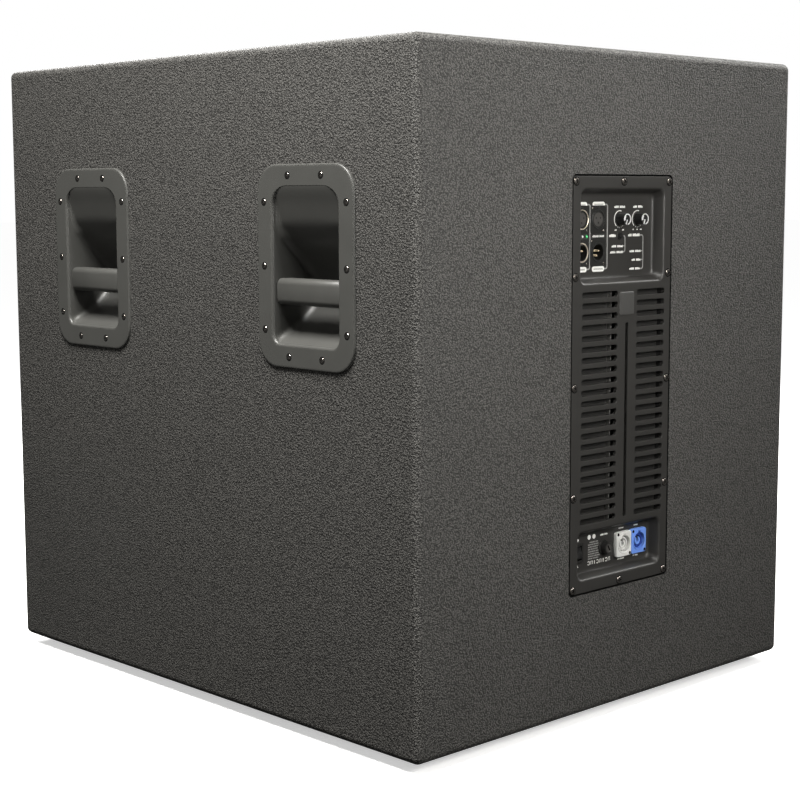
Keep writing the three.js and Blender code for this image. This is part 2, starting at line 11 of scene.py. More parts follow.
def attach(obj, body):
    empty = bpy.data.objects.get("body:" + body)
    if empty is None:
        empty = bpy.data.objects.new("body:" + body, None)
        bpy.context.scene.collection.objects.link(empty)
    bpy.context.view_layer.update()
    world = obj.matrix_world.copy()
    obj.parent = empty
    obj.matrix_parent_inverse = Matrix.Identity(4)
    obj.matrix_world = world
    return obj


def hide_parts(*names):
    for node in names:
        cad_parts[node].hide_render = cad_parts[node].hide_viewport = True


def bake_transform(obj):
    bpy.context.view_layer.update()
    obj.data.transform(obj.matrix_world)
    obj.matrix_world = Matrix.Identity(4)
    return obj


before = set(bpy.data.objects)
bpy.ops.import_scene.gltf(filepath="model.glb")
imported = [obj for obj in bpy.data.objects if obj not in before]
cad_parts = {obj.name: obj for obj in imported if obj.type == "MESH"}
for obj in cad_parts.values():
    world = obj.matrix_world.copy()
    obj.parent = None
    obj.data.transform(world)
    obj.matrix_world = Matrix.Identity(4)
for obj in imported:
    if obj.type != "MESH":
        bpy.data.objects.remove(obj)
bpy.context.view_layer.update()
S = 0.001

# ------------------------------------------------------------------ sizes, as in the CAD part
X1, Y1, Y0, Z0, Z1 = 305.0, 355.4, -356.6, 10.0, 710.0
WALL, EDGE_R = 18.0, 8.0
XI, ZI0, ZI1 = X1 - WALL, Z0 + WALL, Z1 - WALL
BF, BR = -320.6, -296.6
WZ = 412.0
H_Y, H_Z = (197.4, -182.2), 488.3
A_W, A_Z0, A_Z1, A_T = 163.0, 142.0, 579.0, 4.0
FLOOR = Y1 - 13.0
CTL = (-68.5, 68.5, 468.6, 565.0)
MNS = (-68.5, 68.5, 156.0, 206.5)



# ------------------------------------------------------------------ studio
WORLD = 0.035
LIGHTS = [
    ("key_side", (0.9, 0.25, 1.9), (0.2, 0.2, 0.4), 0.7, 83.0, (1.0, 0.985, 0.95)),
    ("key_rear", (0.22, 1.3, 0.78), (0.1, 0.36, 0.45), 0.45, 12.6, (1.0, 0.985, 0.95)),
    ("rear_far", (-0.6, 2.4, 1.3), (0.15, 0.15, 0.4), 1.2, 4.0, (1.0, 0.985, 0.95)),
    ("side_mid", (2.4, 0.4, 1.2), (0.15, 0.15, 0.4), 1.2, 8.0, (1.0, 0.985, 0.95)),
    ("front_fill", (-0.9, -2.0, 1.7), (0.0, 0.0, 0.3), 1.2, 110.0, (1.0, 0.99, 0.97)),
    ("left_fill", (-2.2, 0.3, 1.7), (0.0, 0.0, 0.3), 1.2, 70.0, (1.0, 0.99, 0.97)),
]


# ------------------------------------------------------------------ node materials
def mat(name, base, rough=0.5, metal=0.0, spec=0.5, coat=0.0, coat_rough=0.3, sheen=0.0):
    m = bpy.data.materials.new(name)
    m.use_nodes = True
    m.diffuse_color = (*base, 1)
    p = m.node_tree.nodes["Principled BSDF"]
    p.inputs["Base Color"].default_value = (*base, 1)
    p.inputs["Roughness"].default_value = rough
    p.inputs["Metallic"].default_value = metal
    p.inputs["Specular IOR Level"].default_value = spec
    p.inputs["Coat Weight"].default_value = coat
    p.inputs["Coat Roughness"].default_value = coat_rough
    p.inputs["Sheen Weight"].default_value = sheen
    return m


def node(m, kind, **kw):
    n = m.node_tree.nodes.new(kind)
    for k, v in kw.items():
        if k in n.inputs:
            n.inputs[k].default_value = v
        else:
            setattr(n, k, v)
    return n


def link(m, a, b):
    m.node_tree.links.new(a, b)


def coords(m, scale=(1, 1, 1)):
    tc = node(m, "ShaderNodeTexCoord")
    mp = node(m, "ShaderNodeMapping")
    mp.inputs["Scale"].default_value = scale
    link(m, tc.outputs["Object"], mp.inputs["Vector"])
    return mp.outputs["Vector"]


def noise(m, vec, scale, detail=2.0, rough=0.5):
    n = node(m, "ShaderNodeTexNoise")
    n.inputs["Scale"].default_value = scale
    n.inputs["Detail"].default_value = detail
    n.inputs["Roughness"].default_value = rough
    link(m, vec, n.inputs["Vector"])
    return n.outputs["Fac"]


def ramp(m, fac, stops):
    r = node(m, "ShaderNodeValToRGB")
    e = r.color_ramp.elements
    while len(e) < len(stops):
        e.new(0.5)
    for s, (pos, col) in zip(e, stops):
        s.position = pos
        s.color = (*col, 1) if len(col) == 3 else col
    link(m, fac, r.inputs["Fac"])
    return r.outputs["Color"]


def grey(v):
    return (v, v, v)


def to_base(m, col):
    link(m, col, m.node_tree.nodes["Principled BSDF"].inputs["Base Color"])


def to_rough(m, fac, lo, hi):
    mr = node(m, "ShaderNodeMapRange")
    mr.inputs["To Min"].default_value = lo
    mr.inputs["To Max"].default_value = hi
    link(m, fac, mr.inputs["Value"])
    link(m, mr.outputs["Result"], m.node_tree.nodes["Principled BSDF"].inputs["Roughness"])


def bump(m, fac, strength, dist, prev=None):
    b = node(m, "ShaderNodeBump")
    b.inputs["Strength"].default_value = strength
    b.inputs["Distance"].default_value = dist
    link(m, fac, b.inputs["Height"])
    if prev is not None:
        link(m, prev, b.inputs["Normal"])
    link(m, b.outputs["Normal"], m.node_tree.nodes["Principled BSDF"].inputs["Normal"])
    return b.outputs["Normal"]


def tint(c, k):
    return tuple(min(1.0, x * k) for x in c)


def grained(name, base, rough=0.5, metal=0.0, spec=0.5, vary=0.12, vscale=60, bscale=1800, bstr=0.15,
            bdist=0.0002, rvary=0.06, sheen=0.0, coat=0.0):
    m = mat(name, base, rough, metal, spec, sheen=sheen, coat=coat)
    v = coords(m)
    n1 = noise(m, v, vscale, 4.0, 0.6)
    to_base(m, ramp(m, n1, [(0.3, tint(base, 1 - vary)), (0.7, tint(base, 1 + vary))]))
    n2 = noise(m, v, bscale, 2.0)
    to_rough(m, n2, max(0.02, rough - rvary), min(1.0, rough + rvary))
    bump(m, n2, bstr, bdist)
    return m


def coat_material():
    base = (0.050, 0.0485, 0.0455)
    m = mat("coated_wood_skin", base, 0.72, 0.0, 0.42)
    v = coords(m)
    big = noise(m, v, 9.0, 3.0, 0.6)
    peb = node(m, "ShaderNodeTexVoronoi")
    peb.feature = "SMOOTH_F1"
    peb.inputs["Scale"].default_value = 560.0
    peb.inputs["Smoothness"].default_value = 0.6
    peb.inputs["Randomness"].default_value = 1.0
    warp = node(m, "ShaderNodeTexNoise")
    warp.inputs["Scale"].default_value = 330.0
    warp.inputs["Detail"].default_value = 1.0
    link(m, v, warp.inputs["Vector"])
    mix = node(m, "ShaderNodeVectorMath", operation="MULTIPLY_ADD")
    link(m, warp.outputs["Color"], mix.inputs[0])
    mix.inputs[1].default_value = (0.0022, 0.0022, 0.0022)
    link(m, v, mix.inputs[2])
    link(m, mix.outputs["Vector"], peb.inputs["Vector"])
    fine = noise(m, v, 900.0, 2.0, 0.6)
    # height: rounded pebbles with finer speckle over them
    inv = node(m, "ShaderNodeMath", operation="SUBTRACT")
    inv.inputs[0].default_value = 1.0
    link(m, peb.outputs["Distance"], inv.inputs[1])
    h = node(m, "ShaderNodeMath", operation="MULTIPLY_ADD")
    link(m, fine, h.inputs[0])
    h.inputs[1].default_value = 0.75
    link(m, inv.outputs[0], h.inputs[2])
    # base colour follows the grain's height: darker in the pebbles' hollows as painted shade, lighter on their crests
    grain_painted_shade = ramp(m, h.outputs[0], [(0.70, tint(base, 0.50)), (0.95, tint(base, 0.95)), (1.15, tint(base, 1.9))])
    bigc = ramp(m, big, [(0.3, grey(0.93)), (0.7, grey(1.0))])
    mul = node(m, "ShaderNodeMix", data_type="RGBA", blend_type="MULTIPLY")
    mul.inputs["Factor"].default_value = 1.0
    link(m, grain_painted_shade, mul.inputs["A"])
    link(m, bigc, mul.inputs["B"])
    to_base(m, mul.outputs["Result"])
    to_rough(m, fine, 0.45, 0.85)
    bump(m, h.outputs[0], COAT_BUMP, 0.0012)
    return m


COAT_BUMP = 0.85
M = {
    "coat": coat_material(),
    "handle": grained("handle_moulding", (0.062, 0.062, 0.058), 0.42, spec=0.55, vary=0.05, vscale=30, bscale=1500, bstr=0.10, bdist=0.0002),
    "panel": grained("panel_paint", (0.030, 0.029, 0.0272), 0.42, spec=0.45, vary=0.08, vscale=25, bscale=1700, bstr=0.22, bdist=0.0002),
    "moulded": grained("moulded_black", (0.020, 0.020, 0.020), 0.4, spec=0.4, vary=0.1, bscale=1500, bstr=0.1),
    "screw": grained("nickel_screw", (0.44, 0.405, 0.37), 0.27, metal=1.0, vary=0.1, vscale=900, bscale=3000, bstr=0.08),
    # near-black for screw recesses, socket holes, channels and hole walls: painted shade
    "recess": grained("recess_painted_shade", (0.012, 0.011, 0.010), 0.6, spec=0.2, vary=0.2),
    "print": grained("print_white", (0.78, 0.78, 0.75), 0.5, vary=0.04, vscale=700, bscale=2500, bstr=0.03),
    "print_grey": grained("print_grey", (0.30, 0.30, 0.29), 0.5, vary=0.05, vscale=700, bscale=2500, bstr=0.03),
    "ivory": grained("ring_ivory", (0.62, 0.55, 0.45), 0.32, metal=0.7, vary=0.06, vscale=500),
    "pin": grained("contact_gold", (0.90, 0.74, 0.50), 0.25, metal=0.35, vary=0.05, vscale=900),
    "white": grained("connector_white_abs", (0.74, 0.74, 0.72), 0.36, vary=0.04, vscale=200, bscale=2500, bstr=0.05),
    "white_in": grained("connector_white_core", (0.50, 0.50, 0.48), 0.4, vary=0.05, vscale=200, bscale=2500, bstr=0.05),
    "blue": grained("connector_blue_abs", (0.17, 0.33, 0.86), 0.36, vary=0.05, vscale=200, bscale=2500, bstr=0.05),
    "blue_in": grained("connector_blue_core", (0.018, 0.05, 0.30), 0.4, vary=0.05, vscale=200, bscale=2500, bstr=0.05),
    "knob": grained("knob_black", (0.014, 0.014, 0.014), 0.34, vary=0.1, vscale=300, bscale=2000, bstr=0.1),
    "silver": grained("bright_ring", (0.80, 0.80, 0.80), 0.3, metal=0.25, vary=0.04, vscale=500, bstr=0.05),
    "led": grained("led_green", (0.10, 0.62, 0.22), 0.25, vary=0.08, vscale=800, bstr=0.03),
    "socket": grained("socket_dark", (0.018, 0.018, 0.017), 0.45, spec=0.35, vary=0.1, vscale=300),
    "insert": grained("socket_insert", (0.058, 0.055, 0.052), 0.5, spec=0.35, vary=0.08, vscale=300),
    # near-black for the lining round the panel, rings round screw heads and socket bottoms: painted shade
    "black": grained("painted_shade_black", (0.006, 0.006, 0.006), 0.85, spec=0.1, vary=0.2),
    "rubber": grained("foot_rubber_black", (0.018, 0.018, 0.017), 0.75, spec=0.3, vary=0.15, bscale=900, bstr=0.25, bdist=0.0003),
    "grille": grained("grille_paint", (0.020, 0.020, 0.020), 0.5, spec=0.4, vary=0.12, vscale=40, bscale=1800, bstr=0.3),
    "baffle": grained("baffle_paint", (0.016, 0.016, 0.015), 0.8, spec=0.25, vary=0.15, bscale=700, bstr=0.4, bdist=0.0004),
    "cone": grained("cone_pulp", (0.030, 0.029, 0.027), 0.85, spec=0.2, vary=0.25, vscale=120, bscale=800, bstr=0.6, bdist=0.0005),
    "surround": grained("surround_cloth", (0.018, 0.018, 0.018), 0.6, spec=0.35, vary=0.12, vscale=400, bscale=1200, bstr=0.4, bdist=0.0003),
    "cast": grained("basket_paint", (0.045, 0.045, 0.047), 0.5, metal=0.3, vary=0.1, bscale=1200, bstr=0.25),
    "steel": grained("zinc_plated", (0.52, 0.52, 0.50), 0.35, metal=1.0, vary=0.1, vscale=90),
    "ferrite": grained("ferrite_ring", (0.035, 0.035, 0.037), 0.6, spec=0.3, vary=0.15, vscale=150),
    "copper": grained("winding_copper", (0.55, 0.26, 0.12), 0.35, metal=0.9, vary=0.15, vscale=500),
    "cloth": grained("spider_weave", (0.42, 0.26, 0.10), 0.9, spec=0.2, vary=0.2, vscale=400, bscale=1200, bstr=0.6, bdist=0.0005),
    "alu": grained("heat_sink_alloy", (0.50, 0.50, 0.49), 0.38, metal=1.0, vary=0.08, vscale=150),
    "rail": grained("rail_alloy", (0.80, 0.79, 0.76), 0.28, metal=1.0, vary=0.08, vscale=300),
    "tray": grained("tray_dark", (0.020, 0.0195, 0.0185), 0.5, spec=0.4, vary=0.08, vscale=100),
    "board": grained("circuit_green", (0.022, 0.10, 0.035), 0.45, vary=0.3, vscale=250, bscale=500, bstr=0.4, bdist=0.0004),
    "badge": grained("badge_plate", (0.060, 0.059, 0.057), 0.34, spec=0.5, vary=0.05, vscale=200),
}


def ply_material():
    m = mat("port_plywood", (0.30, 0.20, 0.11), 0.7, 0, 0.3)
    v = coords(m, (6, 1, 60))
    n = noise(m, v, 14, 5, 0.6)
    to_base(m, ramp(m, n, [(0.35, (0.20, 0.12, 0.06)), (0.65, (0.38, 0.26, 0.14))]))
    bump(m, n, 0.2, 0.0004)
    return m


M["ply"] = ply_material()


# ------------------------------------------------------------------ mesh kit
class Kit:
    """Collects closed bodies in millimetres and turns them into one piece."""

    def __init__(self):
        self.v, self.f, self.m = [], [], []

    def add(self, verts, faces, mi=0):
        o = len(self.v)
        self.v.extend(tuple(p) for p in verts)
        self.f.extend([i + o for i in f] for f in faces)
        self.m.extend([mi] * len(faces) if isinstance(mi, int) else mi)

    def loft(self, rings, mi=0, start=True, end=True, closed=False):
        """Joins rings of equal length by quads. start and end cap the ends; closed joins the last ring to the first."""
        n = len(rings[0])
        verts = [p for r in rings for p in r]
        faces = []
        k = len(rings)
        for a in range(k - 1 + (1 if closed else 0)):
            b = (a + 1) % k
            for i in range(n):
                j = (i + 1) % n
                faces.append([a * n + i, a * n + j, b * n + j, b * n + i])
        if not closed and start:
            faces.append(list(range(n))[::-1])
        if not closed and end:
            faces.append([(k - 1) * n + i for i in range(n)])
        self.add(verts, faces, mi)

    def turn(self, prof, c, seg=32, mi=0, axis="y", closed=False, a0=0.0):
        """Lathe of (radius, height) about an axis through c. Radius 0 makes a pole; otherwise ends are capped."""
        rings = []
        for r, h in prof:
            ring = []
            for i in range(seg):
                t = a0 + 2 * math.pi * i / seg
                u, w = r * math.cos(t), r * math.sin(t)
                if axis == "y":
                    ring.append((c[0] + u, h, c[1] + w))
                elif axis == "z":
                    ring.append((c[0] + u, c[1] + w, h))
                else:
                    ring.append((h, c[0] + u, c[1] + w))
            rings.append(ring)
        self.loft(rings, mi, True, True, closed)

    def obj(self, name, mats, body="cabinet", replaces=(), sharp=32, merge=0.0005, weighted=False, recalc=True):
        me = bpy.data.meshes.new(name)
        me.from_pydata([(x * S, y * S, z * S) for x, y, z in self.v], [], self.f)
        for m_ in mats:
            me.materials.append(M[m_] if isinstance(m_, str) else m_)
        me.polygons.foreach_set("material_index", self.m)
        bm = bmesh.new()
        bm.from_mesh(me)
        if merge:
            bmesh.ops.remove_doubles(bm, verts=bm.verts, dist=merge * S)
            bmesh.ops.dissolve_degenerate(bm, edges=bm.edges, dist=merge * S * 0.5)
        if recalc:
            bmesh.ops.recalc_face_normals(bm, faces=bm.faces)
        bm.to_mesh(me)
        bm.free()
        return place(name, me, body, replaces, sharp, weighted)


def place(name, me, body, replaces=(), sharp=32, weighted=False):
    me.shade_smooth()
    me.set_sharp_from_angle(angle=math.radians(sharp))
    o = bpy.data.objects.new(name, me)
    bpy.context.scene.collection.objects.link(o)
    if weighted:
        w = o.modifiers.new("weighted", "WEIGHTED_NORMAL")
        w.keep_sharp = True
        w.weight = 100
    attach(o, body)
    if replaces:
        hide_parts(*replaces)
    return o


def rr(u0, u1, v0, v1, r, n=6, r2=None):
    """Rounded rectangle, counter-clockwise, 4 (n + 1) points. r2 is the radius of the two top corners."""
    r2 = r if r2 is None else r2
    pts = []
    for cu, cv, a, q in ((u1, v0, -90, r), (u1, v1, 0, r2), (u0, v1, 90, r2), (u0, v0, 180, r)):
        su = -1 if cu == u1 else 1
        sv = 1 if cv == v0 else -1
        for i in range(n + 1):
            t = math.radians(a + 90 * i / n)
            pts.append((cu + su * q + q * math.cos(t), cv + sv * q + q * math.sin(t)))
    return pts


def rect(c, o=0.0, r=None, n=6):
    """(u0, u1, v0, v1, radius) grown by o."""
    u0, u1, v0, v1, q = c
    return rr(u0 - o, u1 + o, v0 - o, v1 + o, max(q + o if r is None else r, 0.05), n)


def circ(c, o=0.0, seg=28):
    cu, cv, r = c
    return [(cu + (r + o) * math.cos(2 * math.pi * i / seg), cv + (r + o) * math.sin(2 * math.pi * i / seg)) for i in range(seg)]


def on_y(ring, y):
    return [(u, y, v) for u, v in ring]


def box_rings(k, x0, x1, y0, y1, z0, z1, mi=0, r=0.0, n=2):
    """A block with its edges along Y rounded by r and its outer (+Y) rim eased."""
    e = min(r, 0.6) if r else 0.0
    c = (x0, x1, z0, z1, max(r, 0.05))
    rings = [on_y(rect(c, 0, n=n), y0), on_y(rect(c, 0, n=n), y1 - e)]
    if e:
        rings += [on_y(rect(c, -e * 0.3, n=n), y1 - e * 0.3), on_y(rect(c, -e, n=n), y1)]
    k.loft(rings, mi)


def cap(k, outer, holes, y, mi=0):
    polys = [[Vector((u, v, 0)) for u, v in outer]] + [[Vector((u, v, 0)) for u, v in h] for h in holes]
    tris = tessellate_polygon(polys)
    verts = [(p.x, y, p.y) for q in polys for p in q]
    k.add(verts, [list(t) for t in tris], mi)


def apply_mods(o):
    dg = bpy.context.evaluated_depsgraph_get()
    me = bpy.data.meshes.new_from_object(o.evaluated_get(dg))
    o.modifiers.clear()
    o.data = me


def raw_object(name, k, merge=0.0005):
    me = bpy.data.meshes.new(name)
    me.from_pydata([(x * S, y * S, z * S) for x, y, z in k.v], [], k.f)
    bm = bmesh.new()
    bm.from_mesh(me)
    bmesh.ops.remove_doubles(bm, verts=bm.verts, dist=merge * S)
    bmesh.ops.recalc_face_normals(bm, faces=bm.faces)
    bm.to_mesh(me)
    bm.free()
    o = bpy.data.objects.new(name, me)
    bpy.context.scene.collection.objects.link(o)
    return o


def subtract(target, *cutters):
    for c in cutters:
        b = target.modifiers.new("cut", "BOOLEAN")
        b.operation = "DIFFERENCE"
        b.solver = "EXACT"
        b.object = c
        apply_mods(target)
        bpy.data.objects.remove(c)


def prism_x(ring, x0, x1):
    k = Kit()
    k.loft([[(x0, u, v) for u, v in ring], [(x1, u, v) for u, v in ring]])
    return raw_object("cutter", k)


def prism_y(ring, y0, y1):
    k = Kit()
    k.loft([on_y(ring, y0), on_y(ring, y1)])
    return raw_object("cutter", k)


def prism_z(ring, z0, z1):
    k = Kit()
    k.loft([[(u, v, z0) for u, v in ring], [(u, v, z1) for u, v in ring]])
    return raw_object("cutter", k)


# ------------------------------------------------------------------ a cross-head screw, made once
def screw_master(r, proud, deep):
    k = Kit()
    k.turn([(0, -0.8), (r, -0.8), (r, 0.05), (r * 0.97, proud * 0.4), (r * 0.86, proud * 0.78), (r * 0.66, proud * 0.96), (0, proud)], (0, 0), 28, axis="z")
    o = raw_object("screw_tmp", k)
    w, l = r * 0.17, r * 0.62
    c = Kit()
    for a in (0, 1):
        pts = [(-l, -w), (l, -w), (l, w), (-l, w)]
        if a:
            pts = [(-v, u) for u, v in pts]
        low = [(u * 0.62, v * 0.62) for u, v in pts]
        c2 = Kit()
        c2.loft([[(u, v, proud - deep) for u, v in low], [(u * 1.04, v * 1.04, proud + 1) for u, v in pts]])
        subtract(o, raw_object("cutter", c2))
    verts = [tuple(v.co / S) for v in o.data.vertices]
    faces, mi = [], []
    for p in o.data.polygons:
        faces.append(list(p.vertices))
        c_ = p.center / S
        # faces of the cross recess get material 1, a near-black: painted shade in the recess
        inner = math.hypot(c_[0], c_[1]) < r * 0.66 and c_[2] < proud * 0.97 and c_[2] > -0.7 and abs(p.normal.z) < 0.999 or (abs(c_[2] - (proud - deep)) < 0.05)
        mi.append(1 if inner else 0)
    bpy.data.objects.remove(o)
    return verts, faces, mi


SCREW_P = screw_master(3.8, 1.2, 1.3)
SCREW_H = screw_master(3.1, 0.9, 1.3)


def put_screw(k, master, at, out, turn=0.0, scale=1.0, m0=0, m1=1, sunk=0.0):
    """Adds a screw with its head's seat at `at`, facing `out`."""
    out = Vector(out).normalized()
    up = Vector((0, 0, 1)) if abs(out.z) < 0.9 else Vector((0, 1, 0))
    a = up.cross(out).normalized()
    b = out.cross(a)
    ct, st = math.cos(turn), math.sin(turn)
    A, B = a * ct + b * st, b * ct - a * st
    v = [Vector(at) + (A * p[0] + B * p[1] + out * (p[2] - sunk)) * scale for p in master[0]]
    k.add([tuple(p) for p in v], master[1], [m1 if i else m0 for i in master[2]])


# ------------------------------------------------------------------ camera
f_yaw, f_pitch, f_roll = math.radians(46.26), math.radians(6.95), math.radians(0.15)
fh = Vector((-math.cos(f_yaw), -math.sin(f_yaw), 0))
rt = Vector((-math.sin(f_yaw), math.cos(f_yaw), 0))
up = math.cos(f_pitch) * Vector((0, 0, 1)) + math.sin(f_pitch) * fh
fwd = -math.sin(f_pitch) * Vector((0, 0, 1)) + math.cos(f_pitch) * fh
rt2 = math.cos(f_roll) * rt - math.sin(f_roll) * up
up2 = math.sin(f_roll) * rt + math.cos(f_roll) * up
cam_data = bpy.data.cameras.new("camera")
cam_data.sensor_width = 36.0
cam_data.lens = 75.8485
cam_data.clip_start, cam_data.clip_end = 0.02, 100
cam = bpy.data.objects.new("camera", cam_data)
bpy.context.scene.collection.objects.link(cam)
cam.matrix_world = Matrix((
    (rt2.x, up2.x, -fwd.x, 1.40484), (rt2.y, up2.y, -fwd.y, 1.48167), (rt2.z, up2.z, -fwd.z, 0.56053), (0, 0, 0, 1)))
bpy.context.scene.camera = cam

# ------------------------------------------------------------------ cabinet shell
me = bpy.data.meshes.new("cabinet_shell")
bm = bmesh.new()
bmesh.ops.create_cube(bm, size=1.0)
for v in bm.verts:
    v.co = Vector((v.co.x * 2 * X1, (Y0 + Y1) / 2 + v.co.y * (Y1 - Y0), (Z0 + Z1) / 2 + v.co.z * (Z1 - Z0))) * S
bmesh.ops.bevel(bm, geom=list(bm.edges), offset=EDGE_R * S, offset_type="OFFSET", segments=7, profile=0.5, affect="EDGES", clamp_overlap=True)
bm.to_mesh(me)
bm.free()
shell = bpy.data.objects.new("cabinet_shell", me)
bpy.context.scene.collection.objects.link(shell)
me.materials.append(M["coat"])
cutters = [
    prism_y(rr(-XI, XI, ZI0, ZI1, 0.5, 1), Y0 - 5, Y1 - WALL),
    prism_y(rr(-A_W / 2 - 2, A_W / 2 + 2, A_Z0 - 2, A_Z1 + 2, 6, 6), Y1 - A_T - 0.3, Y1 + 5),
    prism_y(rr(-73.2, 73.2, A_Z0 + 9.3, A_Z1 - 9.3, 1, 1), Y1 - WALL - 5, Y1 + 5),
    prism_z([(42.5 * math.cos(2 * math.pi * i / 56), 42.5 * math.sin(2 * math.pi * i / 56)) for i in range(56)], Z1 - 2.8, Z1 + 5),
    prism_z([(22 * math.cos(2 * math.pi * i / 32), 22 * math.sin(2 * math.pi * i / 32)) for i in range(32)], ZI1 - 5, Z1 + 5),
]
for cy in H_Y:
    for sx in (1, -1):
        ring = rr(cy - 54, cy + 54, H_Z + 1.5 - 84, H_Z + 1.5 + 84, 17, 5)
        a, b = sorted((sx * (XI - 5), sx * (X1 + 5)))
        cutters.append(prism_x(ring, a, b))
subtract(shell, *cutters)
for p in shell.data.polygons:
    p.material_index = 0
shell.data.materials.clear()
shell.data.materials.append(M["coat"])
me = shell.data
bpy.data.objects.remove(shell)
me.name = "cabinet_shell"
shell = place("cabinet_shell", me, "cabinet",
              ("side_panel_right", "side_panel_left", "top_panel", "bottom_panel", "rear_panel"), 32, True)

# ------------------------------------------------------------------ handles
PROFILE = [(-2.5, 569.8), (-0.9, 563), (2, 553), (7.3, 531), (18.5, 513.4), (31.9, 501.4), (43.4, 490.7), (59, 470.8), (60, 456),
           (48.7, 442), (40.8, 434.2), (28.9, 424.4), (15.3, 417.7), (3.7, 412.5), (0, 410)]
pz = np.array([p[1] for p in PROFILE][::-1])
pd = np.array([p[0] for p in PROFILE][::-1])
zz = np.linspace(410, 569.8, 640)
dd = np.interp(zz, pz, pd)
kern = np.exp(-0.5 * (np.arange(-24, 25) / 10.0) ** 2)
kern /= kern.sum()
soft = np.convolve(np.concatenate([np.full(24, dd[0]), dd, np.full(24, dd[-1])]), kern, "valid")
edge = np.clip((zz - 410) / 6.0, 0, 1)
dd = soft * edge + dd * (1 - edge)


def pocket_depth(z):
    return float(np.interp(z, zz, dd))


OPEN = (-50.0, 50.0, 409.8 - H_Z, 569.8 - H_Z)


def open_ring(o, n_side=36, n_cap=20, n_c=7):
    """The hand opening grown inwards by o, with many points along its sides."""
    u0, u1, v0, v1 = OPEN[0] + o, OPEN[1] - o, OPEN[2] + o, OPEN[3] - o
    rb, rt_ = max(10 - o, 4.0), max(21 - o, 5.0)
    lim = max(min((u1 - u0) / 2, (v1 - v0) / 2), 0.01)
    rb, rt_ = min(rb, lim), min(rt_, lim)
    pts = []

    def arc(cu, cv, r, a):
        for i in range(n_c):
            t = math.radians(a + 90 * i / n_c)
            pts.append((cu + r * math.cos(t), cv + r * math.sin(t)))

    def line(p, q, n):
        for i in range(n):
            t = i / n
            pts.append((p[0] + (q[0] - p[0]) * t, p[1] + (q[1] - p[1]) * t))

    arc(u1 - rb, v0 + rb, rb, -90)
    line((u1, v0 + rb), (u1, v1 - rt_), n_side)
    arc(u1 - rt_, v1 - rt_, rt_, 0)
    line((u1 - rt_, v1), (u0 + rt_, v1), n_cap)
    arc(u0 + rt_, v1 - rt_, rt_, 90)
    line((u0, v1 - rt_), (u0, v0 + rb), n_side)
    arc(u0 + rb, v0 + rb, rb, 180)
    line((u0 + rb, v0), (u1 - rb, v0), n_cap)
    return pts


def flange_ring(o, n_side=36, n_cap=20, n_c=7):
    """The flange's outline grown inwards by o, point for point with open_ring."""
    u0, u1, v0, v1, r = -74 + o, 74 - o, -103 + o, 103 - o, max(29 - o, 6)
    pts = []

    def arc(cu, cv, a):
        for i in range(n_c):
            t = math.radians(a + 90 * i / n_c)
            pts.append((cu + r * math.cos(t), cv + r * math.sin(t)))

    def line(p, q, n):
        for i in range(n):
            t = i / n
            pts.append((p[0] + (q[0] - p[0]) * t, p[1] + (q[1] - p[1]) * t))

    arc(u1 - r, v0 + r, -90)
    line((u1, v0 + r), (u1, v1 - r), n_side)
    arc(u1 - r, v1 - r, 0)
    line((u1 - r, v1), (u0 + r, v1), n_cap)
    arc(u0 + r, v1 - r, 90)
    line((u0, v1 - r), (u0, v0 + r), n_side)
    arc(u0 + r, v0 + r, 180)
    line((u0 + r, v0), (u1 - r, v0), n_cap)
    return pts


def edge_distance(u, v):
    """Distance in from the hand opening's rounded outline."""
    r = 21 if v > 0 else 10
    cu, cv = (OPEN[0] + OPEN[1]) / 2, (OPEN[2] + OPEN[3]) / 2
    hu, hv = (OPEN[1] - OPEN[0]) / 2, (OPEN[3] - OPEN[2]) / 2
    qx, qy = abs(u - cu) - hu + r, abs(v - cv) - hv + r
    return -(math.hypot(max(qx, 0), max(qy, 0)) + min(max(qx, qy), 0) - r)


FIL = 11.0


def depth_at(u, v, grow=0.0):
    s = pocket_depth(v + H_Z)
    o = max(edge_distance(u, v), 0.0)
    r = min(FIL, 0.72 * s)
    if r > 0.05 and o < r:
        s -= r - math.sqrt(max(r * r - (r - o) ** 2, 0.0))
    return s


LIP = 2.8                                    # rounding of the opening's rim


def handle_rings():
    """(u, v, d) rings from the flange's edge to the pocket's middle; d is the depth below the side face."""
    out = []
    for o, d in ((0.0, 0.0), (0.0, -1.0), (0.25, -1.75), (0.75, -2.25), (1.6, -2.5), (3.2, -2.5)):
        out.append([(u, v, d) for u, v in flange_ring(o)])
    ring = open_ring(0.0)
    wall = [depth_at(u, v) for u, v in ring]
    lip = [(1.35, 0.0), (1.0, 0.0), (0.62, 0.08), (0.3, 0.3), (0.08, 0.64), (0.0, 1.0)]
    full = [min(LIP, w + 2.5) for w in wall]
    for o, d in lip:
        wide = open_ring(-LIP * o)
        out.append([(u0 + (u - u0) * f / LIP, v0 + (v - v0) * f / LIP, -2.5 + f * d) for (u, v), (u0, v0), f in zip(wide, ring, full)])
    for t in (0.33, 0.66, 1.0):
        out.append([(u, v, -2.5 + f + (w + 2.5 - f) * t) for (u, v), w, f in zip(ring, wall, full)])
    for o in (0.35, 0.9, 1.7, 2.7, 4.0, 5.5, 7.2, 9.2, 11.5, 14.5, 18, 22, 26.5, 31, 36, 41, 46, 50.0):
        out.append([(u, v, depth_at(u, v)) for u, v in open_ring(o)])
    return out


RINGS = handle_rings()


def to_side(sx, cy, u, v, d):
    return (sx * (X1 - d), cy + sx * u, H_Z + v)


